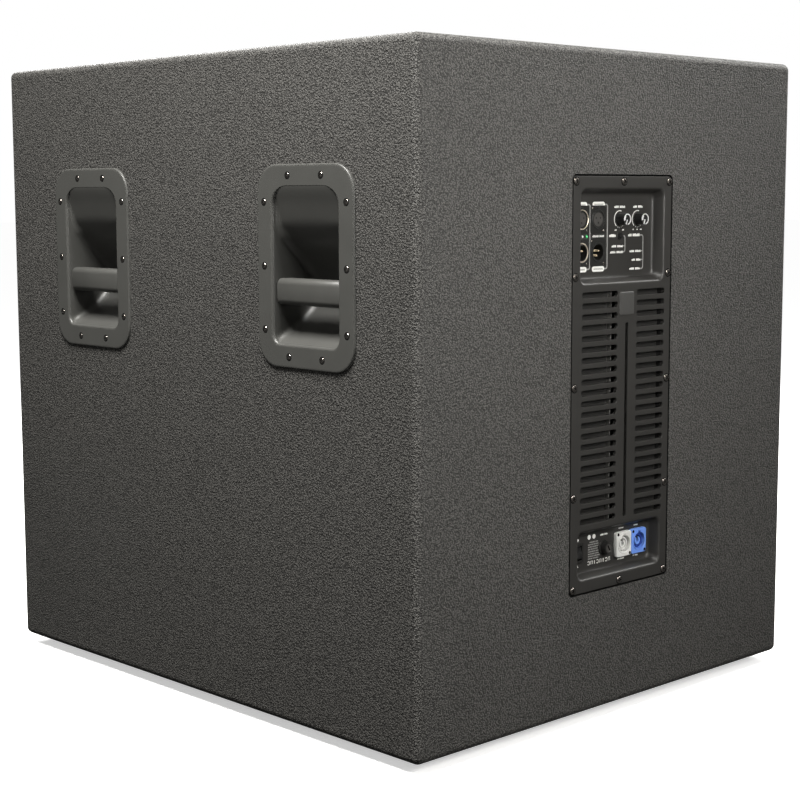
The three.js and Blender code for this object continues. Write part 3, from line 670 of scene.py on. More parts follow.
H_SCREWS = [(su * 25.5, sv * 91.6) for su in (1, -1) for sv in (1, -1)] + [(su * 62.9, dv) for su in (1, -1) for dv in (65, 0, -65)]
hn = 0
for sx in (1, -1):
    for cy in H_Y:
        hn += 1
        k = Kit()
        rings = [[to_side(sx, cy, *p) for p in r] for r in RINGS]
        k.loft(rings, 0, start=False, end=False)
        me = bpy.data.meshes.new("tmp")
        me.from_pydata([(x * S, y * S, z * S) for x, y, z in k.v], [], k.f)
        bm = bmesh.new()
        bm.from_mesh(me)
        bmesh.ops.remove_doubles(bm, verts=bm.verts, dist=0.02 * S)
        bmesh.ops.recalc_face_normals(bm, faces=bm.faces)
        # the open shell's faces have to look outwards, away from the cabinet
        out_dot = sum(f.normal.x * sx * f.calc_area() for f in bm.faces)
        if out_dot < 0:
            bmesh.ops.reverse_faces(bm, faces=bm.faces)
        bm.to_mesh(me)
        bm.free()
        o = bpy.data.objects.new("tmp", me)
        bpy.context.scene.collection.objects.link(o)
        sol = o.modifiers.new("wall", "SOLIDIFY")
        sol.thickness = 2.2 * S
        sol.offset = -1.0
        sol.use_even_offset = False
        sol.use_rim = True
        apply_mods(o)
        shell_me = o.data
        bpy.data.objects.remove(o)
        kb = Kit()
        # grip bar: a core that runs into both walls, and the bar with its rounded ends
        def bar(u0, u1, d0, d1, v0, v1, r, re):
            rs = []
            steps = [(0.0, 1.0), (0.3, 0.62), (0.7, 0.2), (1.0, 0.0)]
            for t, g in steps:
                rs.append((u0 + re * t, re * g))
            for t, g in steps[::-1]:
                rs.append((u1 - re * t, re * g))
            rr_ = []
            for u, g in rs:
                ring_ = rr(d0 + g, d1 - g, v0 + g, v1 - g, max(r - g * 0.4, 0.8), 5)
                rr_.append([to_side(sx, cy, u, v, d) for d, v in ring_])
            kb.loft(rr_)
        bz0, bz1 = 449 - H_Z, 476 - H_Z
        bar(-50.2, 50.2, 1.2, 23.5, bz0, bz1, 6.0, 3.4)
        bar(-51.6, 51.6, 5.5, 22.5, bz0 + 2.5, bz1 - 2.5, 6.0, 0.3)
        o2 = raw_object("tmp2", kb)
        bm = bmesh.new()
        bm.from_mesh(shell_me)
        bm.from_mesh(o2.data)
        me = bpy.data.meshes.new("handle_dish_%d" % hn)
        bm.to_mesh(me)
        bm.free()
        bpy.data.objects.remove(o2)
        me.materials.append(M["handle"])
        place("handle_dish_%d" % hn, me, "cabinet", ("handle_%d" % hn,), 40)
        ks = Kit()
        for i, (u, v) in enumerate(H_SCREWS):
            x, y, z = to_side(sx, cy, u, v, -2.5)
            put_screw(ks, SCREW_H, (x, y, z), (sx, 0, 0), turn=0.5 + i * 1.37 + hn, sunk=0.42)
            # dark seat round the head
            # dark ring round the head: painted shade of the dimple it sits in
            c = (y, z)
            ks.turn([(3.0, sx * (X1 + 2.4)), (4.0, sx * (X1 + 2.4)), (4.0, sx * (X1 + 2.54)), (3.0, sx * (X1 + 2.56))], c, 28, 2, axis="x", closed=True)
        ks.obj("handle_screws_%d" % hn, ["screw", "recess", "black"], sharp=30)

# ------------------------------------------------------------------ amplifier panel
PX = dict(xlr=[(27, 534.1), (54, 534.1)], link=[(27, 499.8), (54, 499.8)], dial=[(-9, 534.0), (-39, 534.0)],
          phase=(-9.4, 516.4), led=(45, 516.4), out=(-18.4, 182.2), inl=(-44.2, 182.2), fuse=(12, 182.5), sw=(54, 181.5))
k = Kit()
B = 0.55


def lower(k, ring_at, y0, T, b, back=True, mi=0):
    """Bevelled wall of an outline: ring_at(o) grows the outline by o; b is positive for a hole."""
    r = [on_y(ring_at(b), y0), on_y(ring_at(b * 0.3), y0 - abs(b) * 0.25), on_y(ring_at(0), y0 - abs(b)), on_y(ring_at(0), y0 - T)]
    k.loft(r, mi, False, False)


outline = (-A_W / 2, A_W / 2, A_Z0, A_Z1, 4.0)
slots = []
for i in range(22):
    z = 456.2 - 11.35 * i
    slots.append((8.0, 66.5, z - 3, z + 3, 2.95))
    slots.append((-71.5, -23.5, z - 3, z + 3, 2.95))
slots.append((-9.9, -5.1, 215, 425, 2.35))
bays = [(*CTL, 8.0), (*MNS, 8.0)]
BAYLIP = 2.6
front_holes = [rect(s, B, n=5) for s in slots] + [rect(b, BAYLIP, n=6) for b in bays]
cap(k, rect(outline, -B, n=5), front_holes, Y1)
back_holes = [rect(s, 0, n=5) for s in slots] + [rect(b, BAYLIP, n=6) for b in bays]
cap(k, rect(outline, 0, n=5), back_holes, Y1 - A_T)
lower(k, lambda o: rect(outline, -o, n=5), Y1, A_T, B)
for s in slots:
    lower(k, lambda o, s=s: rect(s, o, n=5), Y1, A_T, B)
for b in bays:
    u0, u1, v0, v1, r = b
    lean = [(BAYLIP, 0.0), (BAYLIP * 0.62, 0.16), (BAYLIP * 0.3, 0.62), (BAYLIP * 0.08, 1.3), (-0.35, 2.4), (-2.6, 8.6), (-3.1, 10.3),
            (-3.9, 11.7), (-5.2, 12.6), (-6.9, 12.95), (-8.5, 13.0)]
    rings = [on_y(rect(b, o, r=max(8 + o * 0.25, 5), n=6), Y1 - d) for o, d in lean]
    rings[0] = on_y(rect(b, BAYLIP, n=6), Y1)
    k.loft(rings, 0, False, False)
    ctl = v1 > 400
    drills = []
    if ctl:
        drills = [(x, z, 9.8) for x, z in PX["xlr"] + PX["link"]] + [(x, z, 3.6) for x, z in PX["dial"]] + [(*PX["phase"], 3.1), (*PX["led"], 1.7)]
    else:
        drills = [(*PX["out"], 12.3), (*PX["inl"], 12.3), (*PX["fuse"], 6.3)]
    holes = [circ(d) for d in drills]
    if not ctl:
        sxx, szz = PX["sw"]
        holes.append(rr(sxx - 6.3, sxx + 6.3, szz - 9.3, szz + 9.3, 0.5, 6))
    o, d = lean[-1]
    last = rect(b, o, r=max(8 + o * 0.25, 5), n=6)
    cap(k, last, holes, Y1 - 13.0)
    back = rect(b, -4.4, r=7, n=6)
    cap(k, back, holes, Y1 - 16.0)
    for h in holes:
        k.loft([on_y(h, Y1 - 13.0), on_y(h, Y1 - 16.0)], 0, False, False)
    k.loft([on_y(rect(b, BAYLIP, n=6), Y1 - A_T), on_y(rect(b, 1.4, r=8, n=6), Y1 - A_T - 1.0), on_y(rect(b, -1.6, r=8, n=6), Y1 - 13), on_y(back, Y1 - 16)], 0, False, False)
k.obj("amp_front_panel", ["panel"], replaces=("amp_panel",), sharp=38, weighted=True)

# black lining of the pocket round the panel: painted shade, so the gap round the panel reads dark
k = Kit()
lo_ = (-A_W / 2 - 2, A_W / 2 + 2, A_Z0 - 2, A_Z1 + 2, 6.0)
k.loft([on_y(rect(lo_, -0.05), Y1 - 0.35), on_y(rect(lo_, -0.35), Y1 - 0.35), on_y(rect(lo_, -0.35), Y1 - 4.0), on_y(rect(lo_, -2.3), Y1 - 4.0),
        on_y(rect(lo_, -2.3), Y1 - 4.25), on_y(rect(lo_, -0.05), Y1 - 4.25)], 0, False, False, closed=True)
k.obj("panel_gap_painted_shade", ["black"])

# panel screws
k = Kit()
n = 0
for i, z in enumerate((573.6, 475.5, 360.5, 244.8, 146.7)):
    for x in ((77.2, 0, -77.2) if i in (0, 4) else (77.2, -77.2)):
        n += 1
        ks = Kit()
        put_screw(ks, SCREW_P, (x, Y1 - 0.02, z), (0, 1, 0), turn=0.4 + n * 1.13, scale=0.99)
        # thin black ring round the head: painted shade of the gap round it
        ks.turn([(3.7, Y1 + 0.02), (4.7, Y1 + 0.02), (4.7, Y1 + 0.14), (3.7, Y1 + 0.2)], (x, z), 28, 2, closed=True)
        ks.obj("panel_screw_head_%d" % n, ["screw", "recess", "black"], replaces=("panel_screw_%d" % n,), sharp=30)

# badge plate, left blank
k = Kit()
c = (-18.6, 5.5, 433.2, 457.3, 2.0)
k.loft([on_y(rect(c), Y1 - 0.2), on_y(rect(c), Y1 + 0.35), on_y(rect(c, -0.25), Y1 + 0.6), on_y(rect(c, -0.7), Y1 + 0.7)])
k.loft([on_y(rect(c, -2.2), Y1 + 0.6), on_y(rect(c, -2.2), Y1 + 0.78), on_y(rect(c, -2.6), Y1 + 0.82)])
k.obj("badge_blank", ["badge"])

# what shows behind the slots: folded tray with bright rails
k = Kit()
box_rings(k, 13.6, 66.8, Y1 - 11.6, Y1 - 9.6, 212, 464)
box_rings(k, -72.2, -24.6, Y1 - 11.6, Y1 - 9.6, 212, 464)
k.obj("amp_tray", ["tray"])
k = Kit()
box_rings(k, 12.0, 13.4, Y1 - 11.0, Y1 - 5.4, 210, 464)
box_rings(k, -72.9, -71.6, Y1 - 11.0, Y1 - 4.6, 210, 464)
k.obj("amp_tray_rails", ["rail"])

# ------------------------------------------------------------------ signal sockets
F = FLOOR
for i, (x, z) in enumerate(PX["xlr"]):
    k = Kit()
    ring_m = 3 if i == 1 else 0
    # square flange, lying on the floor of the bay
    c = (x - 12.6, x + 12.6, z - 14.6, z + 14.6, 3.0)
    k.loft([on_y(rect(c), F - 0.1), on_y(rect(c), F + 0.35), on_y(rect(c, -0.35), F + 0.6)])
    # raised mouth ring
    k.turn([(8.9, F + 0.5), (10.6, F + 0.5), (10.6, F + 0.95), (10.2, F + 1.25), (9.3, F + 1.25), (8.9, F + 0.9), (8.9, F - 11)], (x, z), 48, 0, closed=True)
    if ring_m:
        k.turn([(9.35, F + 1.0), (10.5, F + 1.0), (10.45, F + 1.45), (9.9, F + 1.7), (9.35, F + 1.45)], (x, z), 48, 3, closed=True)
    # bottom disc, channel round the insert and the insert's pin holes use the near-black recess material: painted shade
    k.turn([(0, F - 11.2), (9.4, F - 11.2), (9.4, F - 11), (0, F - 11)], (x, z), 32, 2)
    k.turn([(7.62, F - 11), (7.62, F - 0.6), (8.88, F - 0.6), (8.88, F - 11)], (x, z), 48, 2, closed=True)
    # insert with its three holes
    holes = [circ((x + dx, z + dz, 1.15), 0, 16) for dx, dz in ((3.4, 1.6), (-3.4, 1.6), (0, -3.4))]
    disc = circ((x, z, 7.6), 0, 40)
    cap(k, circ((x, z, 7.6), -0.4, 40), holes, F + 0.7, 1)
    k.loft([on_y(circ((x, z, 7.6), -0.4, 40), F + 0.7), on_y(disc, F + 0.3), on_y(disc, F - 11)], 1, False, False)
    cap(k, disc, holes, F - 11.0, 1)
    for h in holes:
        k.loft([on_y(h, F + 0.7), on_y(h, F - 11)], 2, False, False)
    box_rings(k, x - 2.2, x + 2.2, F + 0.4, F + 1.5, z + 10.4, z + 13.2, 0, 0.6)
    for sx_, sz_ in ((1, 1), (-1, -1)):
        put_screw(k, SCREW_H, (x + sx_ * 9.4, F + 0.55, z + sz_ * 11.7), (0, 1, 0), 0.7, 0.42, 4, 2)
    k.obj("xlr_socket_in_%d" % (i + 1), ["socket", "insert", "recess", "ivory", "screw"], replaces=("xlr_input_%d" % (i + 1),), sharp=34)
for i, (x, z) in enumerate(PX["link"]):
    k = Kit()
    ring_m = 3 if i == 1 else 0
    c = (x - 12.6, x + 12.6, z - 14.6, z + 14.6, 3.0)
    hole = circ((x, z, 8.3), 0, 40)
    cap(k, rect(c, -0.35), [hole], F + 0.6, 0)
    k.loft([on_y(rect(c), F - 0.1), on_y(rect(c), F + 0.35), on_y(rect(c, -0.35), F + 0.6)], 0, False, False)
    cap(k, rect(c), [hole], F - 0.1, 0)
    k.loft([on_y(hole, F + 0.6), on_y(hole, F - 0.1)], 0, False, False)
    k.turn([(8.4, F - 13), (8.4, F + 0.9), (8.8, F + 1.3), (10.2, F + 1.3), (10.6, F + 0.9), (10.6, F + 0.4), (9.3, F + 0.4), (9.3, F - 13)], (x, z), 48, 0, closed=True)
    if ring_m:
        k.turn([(8.9, F + 1.0), (10.4, F + 1.0), (10.35, F + 1.5), (9.7, F + 1.75), (8.9, F + 1.5)], (x, z), 48, 3, closed=True)
    # bottom disc and screw recesses use the near-black material: painted shade deep in the socket
    k.turn([(0, F - 13.3), (9.3, F - 13.3), (9.3, F - 13), (0, F - 13)], (x, z), 32, 2)
    for dx, dz in ((3.4, 1.6), (-3.4, 1.6), (0, -3.4)):
        k.turn([(0, F - 14), (1.2, F - 14), (1.2, F - 1.8), (0.9, F - 1.1), (0, F - 0.9)], (x + dx, z + dz), 16, 5)
    for sx_, sz_ in ((1, 1), (-1, -1)):
        put_screw(k, SCREW_H, (x + sx_ * 9.4, F + 0.55, z + sz_ * 11.7), (0, 1, 0), 0.7, 0.42, 4, 2)
    k.obj("xlr_socket_link_%d" % (i + 1), ["socket", "insert", "black", "ivory", "screw", "pin"], replaces=("xlr_link_%d" % (i + 1),), sharp=34)

# ------------------------------------------------------------------ mains connectors
for name, node_, (x, z), main, core in (("mains_outlet", "mains_link_outlet", PX["out"], "white", "white_in"), ("mains_inlet_body", "mains_inlet", PX["inl"], "blue", "blue_in")):
    k = Kit()
    top = F + 4.6
    c = (x - 12.7, x + 12.7, z - 13.75, z + 13.75, 3.0)
    sc = [(x + 10, z + 11.2), (x - 10, z - 11.2)]
    mouth = circ((x, z, 10.9), 0, 48)
    sch = [circ((a, b, 1.75), 0, 18) for a, b in sc]
    cap(k, rect(c, -0.7), [mouth] + sch, top, 0)
    cap(k, rect(c), [mouth] + sch, F + 0.3, 0)
    k.loft([on_y(rect(c), F + 0.3), on_y(rect(c), top - 0.8), on_y(rect(c, -0.2), top - 0.25), on_y(rect(c, -0.7), top)], 0, False, False)
    k.loft([on_y(mouth, top), on_y(mouth, F + 0.3)], 0, False, False)
    # walls of the screw holes use the near-black recess material: painted shade
    for h in sch:
        k.loft([on_y(h, top), on_y(h, F + 0.3)], 2, False, False)
    # barrel, raised rim, channel and keyed core
    k.turn([(10.85, F - 14), (10.85, top + 0.35), (10.6, top + 0.55), (9.8, top + 0.55), (9.5, top + 0.3), (9.5, F - 14)], (x, z), 48, 0, closed=True)
    k.turn([(0, F - 14.4), (10.9, F - 14.4), (10.9, F - 14), (0, F - 14)], (x, z), 40, 1)
    k.turn([(0, F - 14), (7.6, F - 14), (7.6, F + 2.0), (7.2, F + 2.6), (6.0, F + 2.6), (5.7, F + 2.2), (5.7, F - 3), (0, F - 3)], (x, z), 48, 1 if main == "blue" else 0)
    # C-shaped post
    pts_o, pts_i = [], []
    for j in range(37):
        t = math.radians(125 + 290 * j / 36)
        pts_o.append((x + 4.6 * math.cos(t), z + 4.6 * math.sin(t)))
        pts_i.append((x + 2.3 * math.cos(t), z + 2.3 * math.sin(t)))
    ring = pts_o + pts_i[::-1]
    k.loft([on_y(ring, F - 3.2), on_y(ring, F + 2.4)], 0)
    box_rings(k, x - 1.0, x + 1.0, F - 3, F + 1.6, z + 0.4, z + 4.6, 3)
    # screws down in the holes use the near-black recess material: painted shade
    for a, b in sc:
        k.turn([(0, F + 0.6), (1.7, F + 0.6), (1.7, F + 2.4), (0, F + 2.7)], (a, b), 18, 2)
    # latch notch at the rim
    box_rings(k, x - 1.6, x + 1.6, top - 0.4, top + 0.75, z + 9.3, z + 11.2, 1)
    k.obj(name, [main, core, "recess", "socket"], replaces=(node_,), sharp=34)

# fuse holder and its cap
x, z = PX["fuse"]
k = Kit()
k.turn([(5.25, F - 22), (6.0, F - 22), (6.0, F + 0.2), (8.4, F + 0.2), (8.4, F + 1.3), (7.9, F + 1.8), (5.25, F + 1.8)], (x, z), 40, 0, closed=True)
k.turn([(0, F - 26), (6.0, F - 26), (6.0, F - 22.2), (0, F - 22.2)], (x, z), 24, 0)
k.obj("fuse_holder_body", ["socket"], replaces=("fuse_holder",))
k = Kit()
seg = 48
prof = [(4.5, F - 20), (4.5, F + 2.4), (6.45, F + 2.4), (6.55, F + 3.2), (6.4, F + 7.7), (6.0, F + 8.3), (5.5, F + 8.5)]
rings = []
for r, h in prof:
    ring = []
    for i in range(seg):
        rr_ = r - (0.16 if (i % 4) in (1, 2) and F + 2.5 < h < F + 8 else 0.0)
        t = 2 * math.pi * i / seg
        ring.append((x + rr_ * math.cos(t), h, z + rr_ * math.sin(t)))
    rings.append(ring)
k.loft(rings, 0, True, False)
sl = []
a = math.radians(58)
for u, v in ((-3.6, -0.75), (3.6, -0.75), (3.6, 0.75), (-3.6, 0.75)):
    sl.append((x + u * math.cos(a) - v * math.sin(a), z + u * math.sin(a) + v * math.cos(a)))
rim = [(p[0], p[2]) for p in rings[-1]]
inner = circ((x, z, 4.7), 0, 40)
cap(k, rim, [inner], F + 8.5, 0)
k.loft([on_y(inner, F + 8.5), on_y(circ((x, z, 4.4), 0, 40), F + 8.2)], 1, False, False)
cap(k, circ((x, z, 4.4), 0, 40), [sl], F + 8.2, 1)
# slot walls use the near-black recess material: painted shade
k.loft([on_y(sl, F + 8.2), on_y(sl, F + 6.4)], 2, False, True)
k.obj("fuse_cap_turned", ["socket", "insert", "recess"], "fuse_cap", ("fuse_cap",), 34)

# rocker switch
x, z = PX["sw"]
k = Kit()
c = (x - 7.5, x + 7.5, z - 10.5, z + 10.5, 1.5)
inn = (x - 4.75, x + 4.75, z - 7.85, z + 7.85, 0.6)
k.loft([on_y(rect(c, n=4), F + 0.3), on_y(rect(c, n=4), F + 1.4), on_y(rect(c, -0.5, n=4), F + 1.95), on_y(rect(inn, 0.3, n=4), F + 1.95), on_y(rect(inn, 0, n=4), F + 1.6), on_y(rect(inn, 0, n=4), F - 10),
        on_y(rect((x - 6, x + 6, z - 9, z + 9, 0.6), n=4), F - 10), on_y(rect((x - 6, x + 6, z - 9, z + 9, 0.6), n=4), F + 0.3)], 0, False, False, closed=True)
k.loft([on_y(rect((x - 6, x + 6, z - 9, z + 9, 0.6), n=4), F - 20), on_y(rect((x - 6, x + 6, z - 9, z + 9, 0.6), n=4), F - 10.3)])
k.obj("switch_frame", ["socket"], replaces=("power_switch_housing",))

# rocker, on its pivot
x, z = PX["sw"]
py = F - 2.0
k = Kit()
prof = []
R = 7.3
t0 = 0.42
prof.append((R * math.cos(math.pi / 2 - t0), R * math.sin(math.pi / 2 - t0)))
for i in range(7):
    t = i / 6
    a_, b_ = prof[0], (4.7, 0.4)
    prof.append((a_[0] + (b_[0] - a_[0]) * t - 0.5 * math.sin(math.pi * t), a_[1] + (b_[1] - a_[1]) * t)) if 0 < i else None
prof.append((5.0, -R * 0.35))
prof.append((5.55, -R * 0.6))
for i in range(19):
    t = -0.72 - (2 * math.pi - (math.pi / 2 - t0) - 0.72) * i / 18
    prof.append((R * math.cos(t), R * math.sin(t)))
rings = []
for xx, g in ((x - 4.3, 0.35), (x - 3.95, 0.0), (x + 3.95, 0.0), (x + 4.3, 0.35)):
    rings.append([(xx, py + p * (1 - g / R), z + q * (1 - g / R)) for p, q in prof])
k.loft(rings)
k.turn([(1.1, F + 1.6), (1.6, F + 1.6), (1.6, F + 2.2), (1.1, F + 2.2)], (x, z + 3.9), 20, 1, closed=True) if False else None
k.obj("rocker_lever", ["knob"], "power_rocker", ("power_rocker",), 30)

# rotary knobs: turned black body, bright ring and pointer
for name, (x, z), body in (("level", PX["dial"][0], "level_knob"), ("lowpass", PX["dial"][1], "lowpass_knob")):
    k = Kit()
    seg = 48
    rings = []
    for r, h in ((5.4, F + 1.05), (6.5, F + 1.05), (6.55, F + 1.6), (6.45, F + 9.4), (6.35, F + 10.2), (6.1, F + 10.65)):
        ring = []
        for i in range(seg):
            rr_ = r - (0.2 if (i % 4) in (1, 2) and F + 1.2 < h < F + 10 else 0.0)
            t = 2 * math.pi * i / seg
            ring.append((x + rr_ * math.cos(t), h, z + rr_ * math.sin(t)))
        rings.append(ring)
    k.loft(rings, 0, True, False)
    face_r = [(p[0], p[2]) for p in rings[-1]]
    cap(k, face_r, [circ((x, z, 5.95), 0, 40)], F + 10.65, 0)
    k.loft([on_y(circ((x, z, 5.95), 0, 40), F + 10.65), on_y(circ((x, z, 5.8), 0, 40), F + 10.4)], 0, False, True)
    # open ring, 300 degrees round
    def arc_band(r0, r1, a0, a1, y0, y1, mi, n_=44):
        po, pi_ = [], []
        for j in range(n_ + 1):
            t = math.radians(a0 + (a1 - a0) * j / n_)
            po.append((x + r1 * math.cos(t), z + r1 * math.sin(t)))
            pi_.append((x + r0 * math.cos(t), z + r0 * math.sin(t)))
        ring_ = po + pi_[::-1]
        k.loft([on_y(ring_, y0), on_y(ring_, y1 - 0.1)], mi, False, False)
        n2 = n_ + 1
        o_ = len(k.v)
        k.add([(u, y1, v) for u, v in po] + [(u, y1, v) for u, v in pi_], [[j, j + 1, n2 + j + 1, n2 + j] for j in range(n_)], mi)
        k.add([(u, y0, v) for u, v in po] + [(u, y0, v) for u, v in pi_], [[j, n2 + j, n2 + j + 1, j + 1] for j in range(n_)], mi)
        sides = [on_y(ring_, y1 - 0.1), on_y(ring_, y1)]
        k.loft(sides, mi, False, False)
    arc_band(4.75, 5.85, -10, 262, F + 10.3, F + 10.95, 1)
    arc_band(3.5, 5.8, -14, 48, F + 10.25, F + 11.0, 1, 12)
    # pointer, down and out to the left of the open ring's gap
    a = math.radians(292)
    d_ = (math.cos(a), math.sin(a))
    nrm = (-d_[1], d_[0])
    pts = [(x + d_[0] * r_ + nrm[0] * w_, z + d_[1] * r_ + nrm[1] * w_) for r_, w_ in ((0.6, -0.6), (6.0, -0.7), (6.0, 0.7), (0.6, 0.6))]
    k.loft([on_y(pts, F + 10.3), on_y(pts, F + 10.98)], 1)
    k.obj(name + "_knob_turned", ["knob", "silver"], body, (body,), 34)
    k = Kit()
    k.turn([(3.4, F - 0.1), (5.4, F - 0.1), (5.4, F + 0.45), (5.0, F + 0.75), (3.4, F + 0.75)], (x, z), 6, 0, closed=True)
    k.obj(name + "_pot_nut", ["steel"], sharp=20)

# polarity button and status lamp
x, z = PX["phase"]
k = Kit()
k.turn([(0, F - 8.5), (1.7, F - 8.5), (1.7, F - 1.2), (2.65, F - 1.2), (2.7, F + 2.9), (2.45, F + 3.3), (1.6, F + 3.38), (0.0, F + 3.15)], (x, z), 32, 0)
k.obj("phase_button_cap", ["knob"], "phase_button", ("phase_button",), 34)
k = Kit()
k.turn([(3.2, F - 0.1), (4.2, F - 0.1), (4.2, F + 0.35), (3.9, F + 0.55), (3.2, F + 0.55)], (x, z), 32, 0, closed=True)
k.obj("phase_button_ring", ["socket"])
x, z = PX["led"]
k = Kit()
k.turn([(0, F - 6), (2.1, F - 6), (2.1, F - 3.4), (1.5, F - 3.4), (1.5, F + 0.3), (1.25, F + 0.75), (0.7, F + 1.0), (0, F + 1.1)], (x, z), 24, 0)
k.obj("status_lamp", ["led"], replaces=("status_led",))

# ------------------------------------------------------------------ markings, as thin raised paint
k = Kit()
T0, T1 = F - 0.02, F + 0.12


def flat(ring, mi=0, y1=T1):
    k.loft([on_y(ring, T0), on_y(ring, y1)], mi)


def band(pts, w, mi=0, y1=T1):
    """A painted line of width w through pts."""
    L, Rr = [], []
    for i, p in enumerate(pts):
        a = pts[max(i - 1, 0)]
        b = pts[min(i + 1, len(pts) - 1)]
        d = Vector((b[0] - a[0], b[1] - a[1]))
        d.normalize()
        nx, nz = -d.y * w / 2, d.x * w / 2
        L.append((p[0] + nx, p[1] + nz))
        Rr.append((p[0] - nx, p[1] - nz))
    nn = len(pts)
    v = [(u, T0, q) for u, q in L + Rr] + [(u, y1, q) for u, q in L + Rr]
    f = []
    for i in range(nn - 1):
        f.append([2 * nn + i, 2 * nn + i + 1, 3 * nn + i + 1, 3 * nn + i])
        f.append([i, nn + i, nn + i + 1, i + 1])
        f.append([i, i + 1, 2 * nn + i + 1, 2 * nn + i])
        f.append([nn + i, 3 * nn + i, 3 * nn + i + 1, nn + i + 1])
    f.append([0, 2 * nn, 3 * nn, nn])
    f.append([nn - 1, 2 * nn - 1, 4 * nn - 1, 3 * nn - 1])
    k.add(v, f, mi)


def bracket(p0, corner1, corner2, p1, r, w, mi):
    pts = [p0]
    for c, a, b in ((corner1, p0, corner2), (corner2, corner1, p1)):
        da = Vector((a[0] - c[0], a[1] - c[1])).normalized()
        db = Vector((b[0] - c[0], b[1] - c[1])).normalized()
        for i in range(6):
            t = math.pi / 2 * i / 5
            q = (c[0] + da.x * r * (1 - math.sin(t)) + db.x * r * (1 - math.cos(t)), c[1] + da.y * r * (1 - math.sin(t)) + db.y * r * (1 - math.cos(t)))
            pts.append(q)
    pts.append(p1)
    band(pts, w, mi)


def word(xc, zc, letters, w=1.05, h=1.7, gap=0.32, mi=0, y1=T1):
    """A row of short plain blocks standing in for a label."""
    tot = sum(letters) * (w + gap) + (len(letters) - 1) * w
    u = xc + tot / 2
    for wi, nl in enumerate(letters):
        for j in range(nl):
            hh = h * (1.0 if (j * 7 + wi * 3) % 4 else 0.78)
            flat([(u - w, zc - h / 2), (u, zc - h / 2), (u, zc - h / 2 + hh), (u - w, zc - h / 2 + hh)], mi, y1)
            u -= w + gap
        u -= w


def pill(xc, zc, w, h):
    flat(rect((xc - w / 2, xc + w / 2, zc - h / 2, zc + h / 2, h / 2 - 0.05), n=8), 0, F + 0.14)
    u = xc + w / 2 - h * 0.55
    while u > xc - w / 2 + h * 0.5:
        k.loft([on_y([(u - 0.9, zc - 0.8), (u, zc - 0.8), (u, zc + 0.8), (u - 0.9, zc + 0.8)], F + 0.1), on_y([(u - 0.9, zc - 0.8), (u, zc - 0.8), (u, zc + 0.8), (u - 0.9, zc + 0.8)], F + 0.2)], 1)
        u -= 1.35


pill(26, 549.7, 20, 5.6)
pill(26, 482.3, 20, 5.6)
pill(53.6, 549.2, 18, 6.2)
pill(53.6, 510.6, 18, 5.6)
pill(53.6, 482.3, 18, 5.6)
bracket((16.5, 549.7), (11.3, 549.7), (11.3, 482.3), (16.5, 482.3), 2.4, 1.5, 1)
bracket((44, 549.7), (39.8, 549.7), (39.8, 482.3), (44, 482.3), 2.4, 1.5, 1)
band([(44, 510.6), (39.8, 510.6)], 1.4, 1)
word(26, 516.6, (8, 6), 0.98, 1.9, 0.3)
flat(rr(50.2, 52.8, 515.6, 517.6, 0.9, 4))
# dials
for cx, lab in ((-9.0, (4, 5)), (-39.0, (3, 4))):
    arc = [(cx + 8.9 * math.cos(math.radians(t)), 534 + 8.9 * math.sin(math.radians(t))) for t in range(75, -131 + 360, 4)] if False else \
          [(cx + 8.9 * math.cos(math.radians(t)), 534 + 8.9 * math.sin(math.radians(t))) for t in np.arange(-52, 112, 4.0)]
    band(arc, 0.95, 0)
    arc2 = [(cx + 8.9 * math.cos(math.radians(t)), 534 + 8.9 * math.sin(math.radians(t))) for t in np.arange(140, 232, 4.0)]
    band(arc2, 0.8, 0)
    word(cx + (0.0 if cx > -20 else -1.0), 547.0, lab, 1.5 if cx > -20 else 1.75, 2.4, 0.3)
    for j, t in enumerate((-125, -108, -90, -72)):
        a = math.radians(t)
        band([(cx + 8.2 * math.cos(a), 534 + 8.2 * math.sin(a)), (cx + 9.3 * math.cos(a), 534 + 9.3 * math.sin(a))], 0.7, 0)
    if cx > -20:
        word(cx + 6.4, 522.6, (3,), 0.9, 1.4, 0.25)
        word(cx - 6.0, 522.6, (3,), 0.9, 1.4, 0.25)
    else:
        word(cx + 6.8, 522.8, (2,), 0.8, 1.4, 0.25)
        word(cx + 0.2, 522.8, (2,), 0.8, 1.4, 0.25)
        word(cx - 6.2, 522.8, (3,), 0.8, 1.4, 0.25)
# polarity group
word(2.4, 516.8, (5,), 1.9, 2.8, 0.3)
bracket((-13.6, 516.4), (-18.4, 516.4), (-18.4, 499.2), (-14.5, 499.2), 2.6, 1.3, 1)
band([(-18.4, 505.6), (-14.8, 505.6)], 1.2, 1)
word(-5.6, 505.4, (4, 5), 1.6, 2.3, 0.3)
word(-4.6, 499.2, (5, 6), 1.5, 2.3, 0.3)
# status group
word(-33.6, 516.8, (3, 6), 1.7, 2.8, 0.3)
bracket((-43.6, 516.6), (-49.2, 516.6), (-49.2, 480.6), (-44.5, 480.6), 2.6, 1.3, 1)
band([(-49.2, 499.6), (-45.4, 499.6)], 1.2, 1)
band([(-49.2, 490.3), (-45.4, 490.3)], 1.2, 1)
word(-36.0, 499.6, (4, 5), 1.6, 2.3, 0.3)
word(-38.0, 490.3, (3, 4), 1.6, 2.3, 0.3)
word(-35.6, 480.8, (4, 4), 1.7, 2.3, 0.3)
